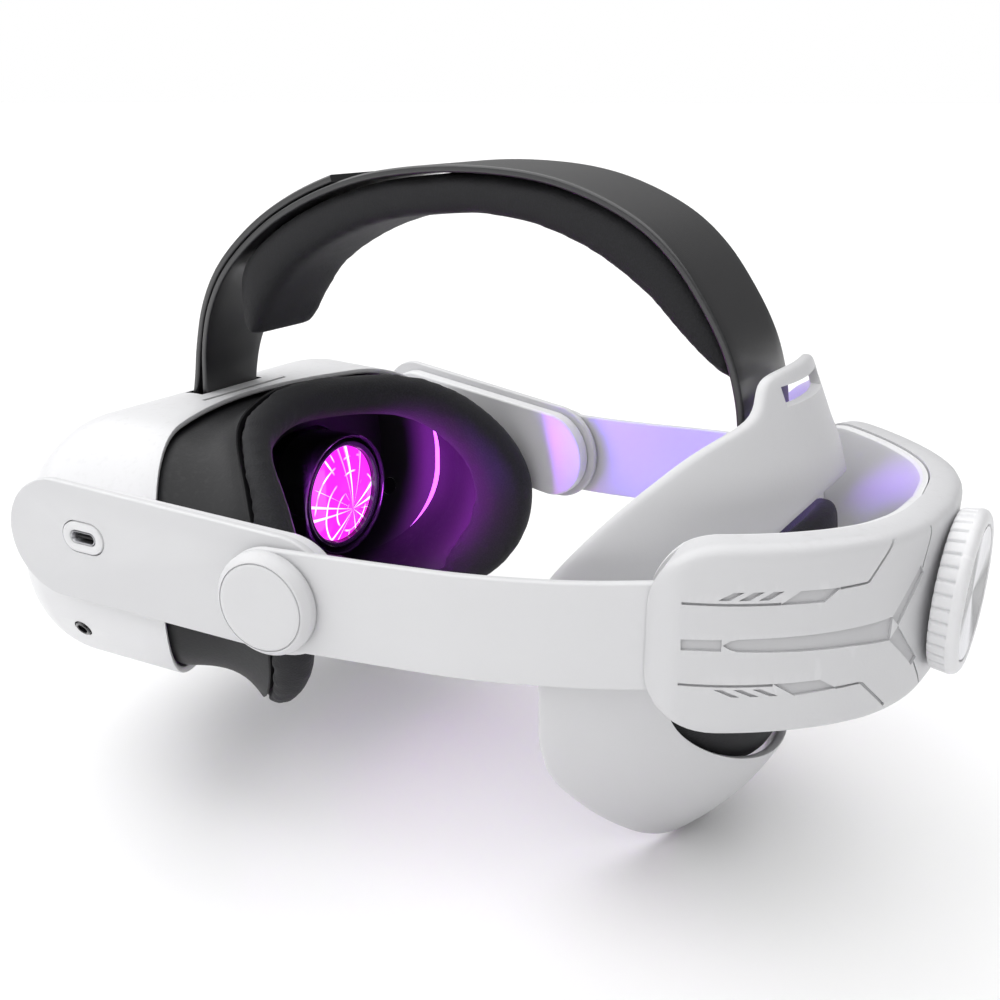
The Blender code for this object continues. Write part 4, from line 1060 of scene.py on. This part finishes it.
def strap_width(z, y):
    if y > 60:
        return STRAP_HALF_WIDTH
    return STRAP_BASE_HALF_WIDTH + (STRAP_HALF_WIDTH - STRAP_BASE_HALF_WIDTH) * ease((z - 30) / 55)


def strap_strip(name, last, lift, look):
    rings = []
    for i in range(last):
        (y, z), (ny, nz) = strap_path[i], strap_out[i]
        half = strap_width(z, y)
        top = lift(z)
        ring = []
        for x, rise in rounded(half, STRAP_THICKNESS / 2, 0.8, 5, 8):
            depth = top - STRAP_THICKNESS / 2 + rise
            ring.append((x, y + ny * depth, z + nz * depth))
        rings.append(ring)
    return skin(name, rings, look)


def fold_lift(z):
    """The folded layer stands off more where it goes down into the housing."""
    spread = min(max((58 - z) / 30, 0.0), 1.0)
    return STRAP_THICKNESS + 0.3 + 3.0 * spread * spread


belong(strap_strip("crown_strap", 181, lambda z: 0.0, strap_black), "visor", ["top_strap"])
belong(strap_strip("crown_strap_fold", 72, fold_lift, strap_black), "visor", ["strap_fold"])
pad_lower = smooth([(-77, 50.5), (-68.5, 57), (-60.5, 69.5), (-49.5, 82), (-31, 93.2),
                    (-11, 100.4), (10, 103.8), (28, 104.6), (46, 102.2), (64, 95.8), (80, 86),
                    (90, 76.5), (97, 68.5)], 90)
under_line = [(y - ny * (STRAP_THICKNESS + 0.5), z - nz * (STRAP_THICKNESS + 0.5))
              for (y, z), (ny, nz) in zip(strap_path, strap_out)]
pad_upper = smooth(under_line[36:169:6], 90)
crown_rings = []
for i, ((uy, uz), (ly, lz)) in enumerate(zip(pad_upper, pad_lower)):
    closing = max(0.0, 1 - min(i, 89 - i) / 6.0)
    end = 1 - math.sqrt(1 - closing * closing * 0.96)
    half = (strap_width(uz, uy) - 0.9) * (1 - 0.45 * end)
    squeeze = 0.72 * end
    deep = math.hypot(ly - uy, lz - uz)
    ring = []
    for x, rise in rounded(half, deep / 2 * (1 - squeeze), 5.0 * (1 - 0.8 * end), 8, 4):
        share = 0.5 - (rise + deep / 2 * squeeze * 0.55) / deep
        ring.append((x, uy + (ly - uy) * share, uz + (lz - uz) * share))
    crown_rings.append(ring)
crown = skin("crown_pad", crown_rings, pad_black, sharp=80)


# --------------------------------------------------------------- filling pads
FILL_STEPS = 20


def fill_pads(pads):
    """Blow the foam pads up softly inside their skins and keep the result.

    Each row is a pad, its skin's mesh size and most swelling in mm, and its smoothing rounds.
    """
    kept = []
    for pad, voxel, _, _ in pads:
        remesh = pad.modifiers.new("even skin", "REMESH")
        remesh.mode = "VOXEL"
        remesh.voxel_size = voxel * MM
        remesh.use_smooth_shade = True
        ready = pad.evaluated_get(bpy.context.evaluated_depsgraph_get())
        pad.data = bpy.data.meshes.new_from_object(ready)
        pad.modifiers.clear()
        kept.append([vertex.co.copy() for vertex in pad.data.vertices])
        fill = pad.modifiers.new("fill", "CLOTH")
        fill.settings.quality = 5
        fill.settings.mass = 0.3
        fill.settings.use_pressure = True
        fill.settings.uniform_pressure_force = 4.0
        fill.settings.tension_stiffness = 20.0
        fill.settings.bending_stiffness = 30.0
        fill.settings.effector_weights.gravity = 0.0
    for number in range(1, FILL_STEPS + 1):
        bpy.context.scene.frame_set(number)
    for (pad, _, cap, rounds), rest in zip(pads, kept):
        ready = pad.evaluated_get(bpy.context.evaluated_depsgraph_get())
        moved = [vertex.co.copy() for vertex in ready.data.vertices]
        pad.modifiers.clear()
        for vertex, start, stop in zip(pad.data.vertices, rest, moved):
            step = stop - start
            if step.length > cap * MM:
                step *= cap * MM / step.length
            vertex.co = start + step
        relax = pad.modifiers.new("relax", "SMOOTH")
        relax.factor = 0.5
        relax.iterations = rounds
        soft = pad.modifiers.new("soft", "SUBSURF")
        soft.levels = soft.render_levels = 1
    bpy.context.scene.frame_set(1)


fill_pads([(cushion, 2.6, 0.7, 2), (crown, 2.6, 0.7, 3), (nape, 1.7, 0.8, 7)])
belong(cushion, "visor", ["face_cushion"])
belong(crown, "visor", ["top_pad"])
belong(nape, "cradle", ["rear_pad"])

# ------------------------------------------------- CAD nodes that stay in view
NODE_LOOKS = {"battery": cell_wrap, "fan_housing": black, "fan_rotor": key_grey,
              "heat_sink": steel, "main_board": board_green, "display_panel": panel_painted_glow,
              "lens_rail": steel, "eye_plate": black, "proximity_sensor": gloss_black,
              "plate_post_left": white, "plate_post_right": white, "strap_bar": steel,
              "knob_pinion": steel}
for name, look in NODE_LOOKS.items():
    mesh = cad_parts[name].data
    mesh.materials.clear()
    mesh.materials.append(look)

# -------------------------------------------------------------- studio, camera
FLOOR_REACH = 60.0      # metres each way, so the floor has no edge in any view
floor_mesh = bpy.data.meshes.new("floor")
floor_mesh.from_pydata([(x * FLOOR_REACH, y * FLOOR_REACH, 0)
                        for x, y in ((-1, -1), (1, -1), (1, 1), (-1, 1))], [], [(0, 1, 2, 3)])
floor = bpy.data.objects.new("floor", floor_mesh)
bpy.context.scene.collection.objects.link(floor)
paper, tree, sockets, where = start_look("studio_paper", 0.9)
fibre = use(tree, fine_grain, Vector=where, Scale=300.0, Blotch=2.0)
feed(tree, sockets["Base Color"],
     mix(tree, fibre["Mask"], (0.93, 0.93, 0.93), (0.91, 0.91, 0.91)))
floor_mesh.materials.append(paper)


def lamp(name, kind, power, direction, spot=(0, 0, 0), colour=(1, 1, 1)):
    data = bpy.data.lights.new(name, kind)
    data.energy = power
    data.color = colour
    made = bpy.data.objects.new(name, data)
    bpy.context.scene.collection.objects.link(made)
    made.location = spot
    made.rotation_mode = "QUATERNION"
    made.rotation_quaternion = Vector(direction).to_track_quat("-Z", "Y")
    return data


def softbox(name, spot, target, size, watts, colour=(1, 1, 1), spread=180):
    """A square or oblong lamp that shines from its spot towards a target."""
    data = lamp(name, "AREA", watts, Vector(target) - Vector(spot), spot, colour)
    data.shape = "RECTANGLE"
    data.size, data.size_y = size
    data.spread = math.radians(spread)


CENTRE = (0, 0, 0.1)
DEEP_BLUE, VIOLET_BLUE, VIOLET = (0.20, 0.10, 1.0), (0.30, 0.10, 1.0), (0.62, 0.06, 1.0)
sky_lamp = lamp("sky_light", "SUN", 3.2, (-0.15, 0.25, -1.0))
sky_lamp.angle = math.radians(110)
softbox("left_light", (0.75, -1.0, 0.9), CENTRE, (0.8, 0.8), 0.6)
softbox("right_light", (0.9, 1.2, 0.65), CENTRE, (0.8, 0.8), 0.5)
softbox("band_glow", place(-30, -20, 5), place(-82, 75, 18), (0.04, 0.04), 0.030, DEEP_BLUE, 70)
softbox("rear_glow", place(10, 70, 12), place(-40, 150, 22), (0.04, 0.04), 0.012, VIOLET_BLUE,
        70)
for side in (1, -1):
    softbox("eye_glow", place(side * 4, -60, -14), place(side * 72, -58, -12), (0.02, 0.03),
            0.11, VIOLET, 90)

# The camera sees plain white; everything else is lit by a sky that fades to one side.
SKY_SIDE, SKY_DIM, SKY_BRIGHT = (0.45, -0.62, 0.64), 0.08, 0.46
world = bpy.data.worlds.new("studio")
bpy.context.scene.world = world
world.use_nodes = True
sky = world.node_tree
backdrop = sky.nodes["Background"].inputs
backdrop["Color"].default_value = (1.0, 1.0, 1.0, 1.0)
toward = node(sky, "ShaderNodeVectorMath", (("operation", "DOT_PRODUCT"),),
              i0=sky.nodes.new("ShaderNodeTexCoord").outputs["Generated"], i1=SKY_SIDE)
soft_sky = rescale(sky, toward.outputs["Value"], -0.8, 1.0, SKY_DIM, SKY_BRIGHT)
seen = node(sky, "ShaderNodeLightPath").outputs["Is Camera Ray"]
feed(sky, backdrop["Strength"], rescale(sky, seen, 0.0, 1.0, soft_sky, 1.0))
bpy.context.scene.view_settings.view_transform = "Standard"

CAMERA_SPOT, CAMERA_AIM = (0.297967, 0.188341, 0.229459), (-0.79603, -0.49931, -0.34202)
lens_data = bpy.data.cameras.new("camera")
lens_data.lens, lens_data.sensor_width = 39.6, 36.0
lens_data.clip_start, lens_data.clip_end = 0.01, 200.0
viewer = bpy.data.objects.new("camera", lens_data)
bpy.context.scene.collection.objects.link(viewer)
viewer.location = CAMERA_SPOT
viewer.rotation_mode = "QUATERNION"
viewer.rotation_quaternion = Vector(CAMERA_AIM).to_track_quat("-Z", "Y")
bpy.context.scene.camera = viewer
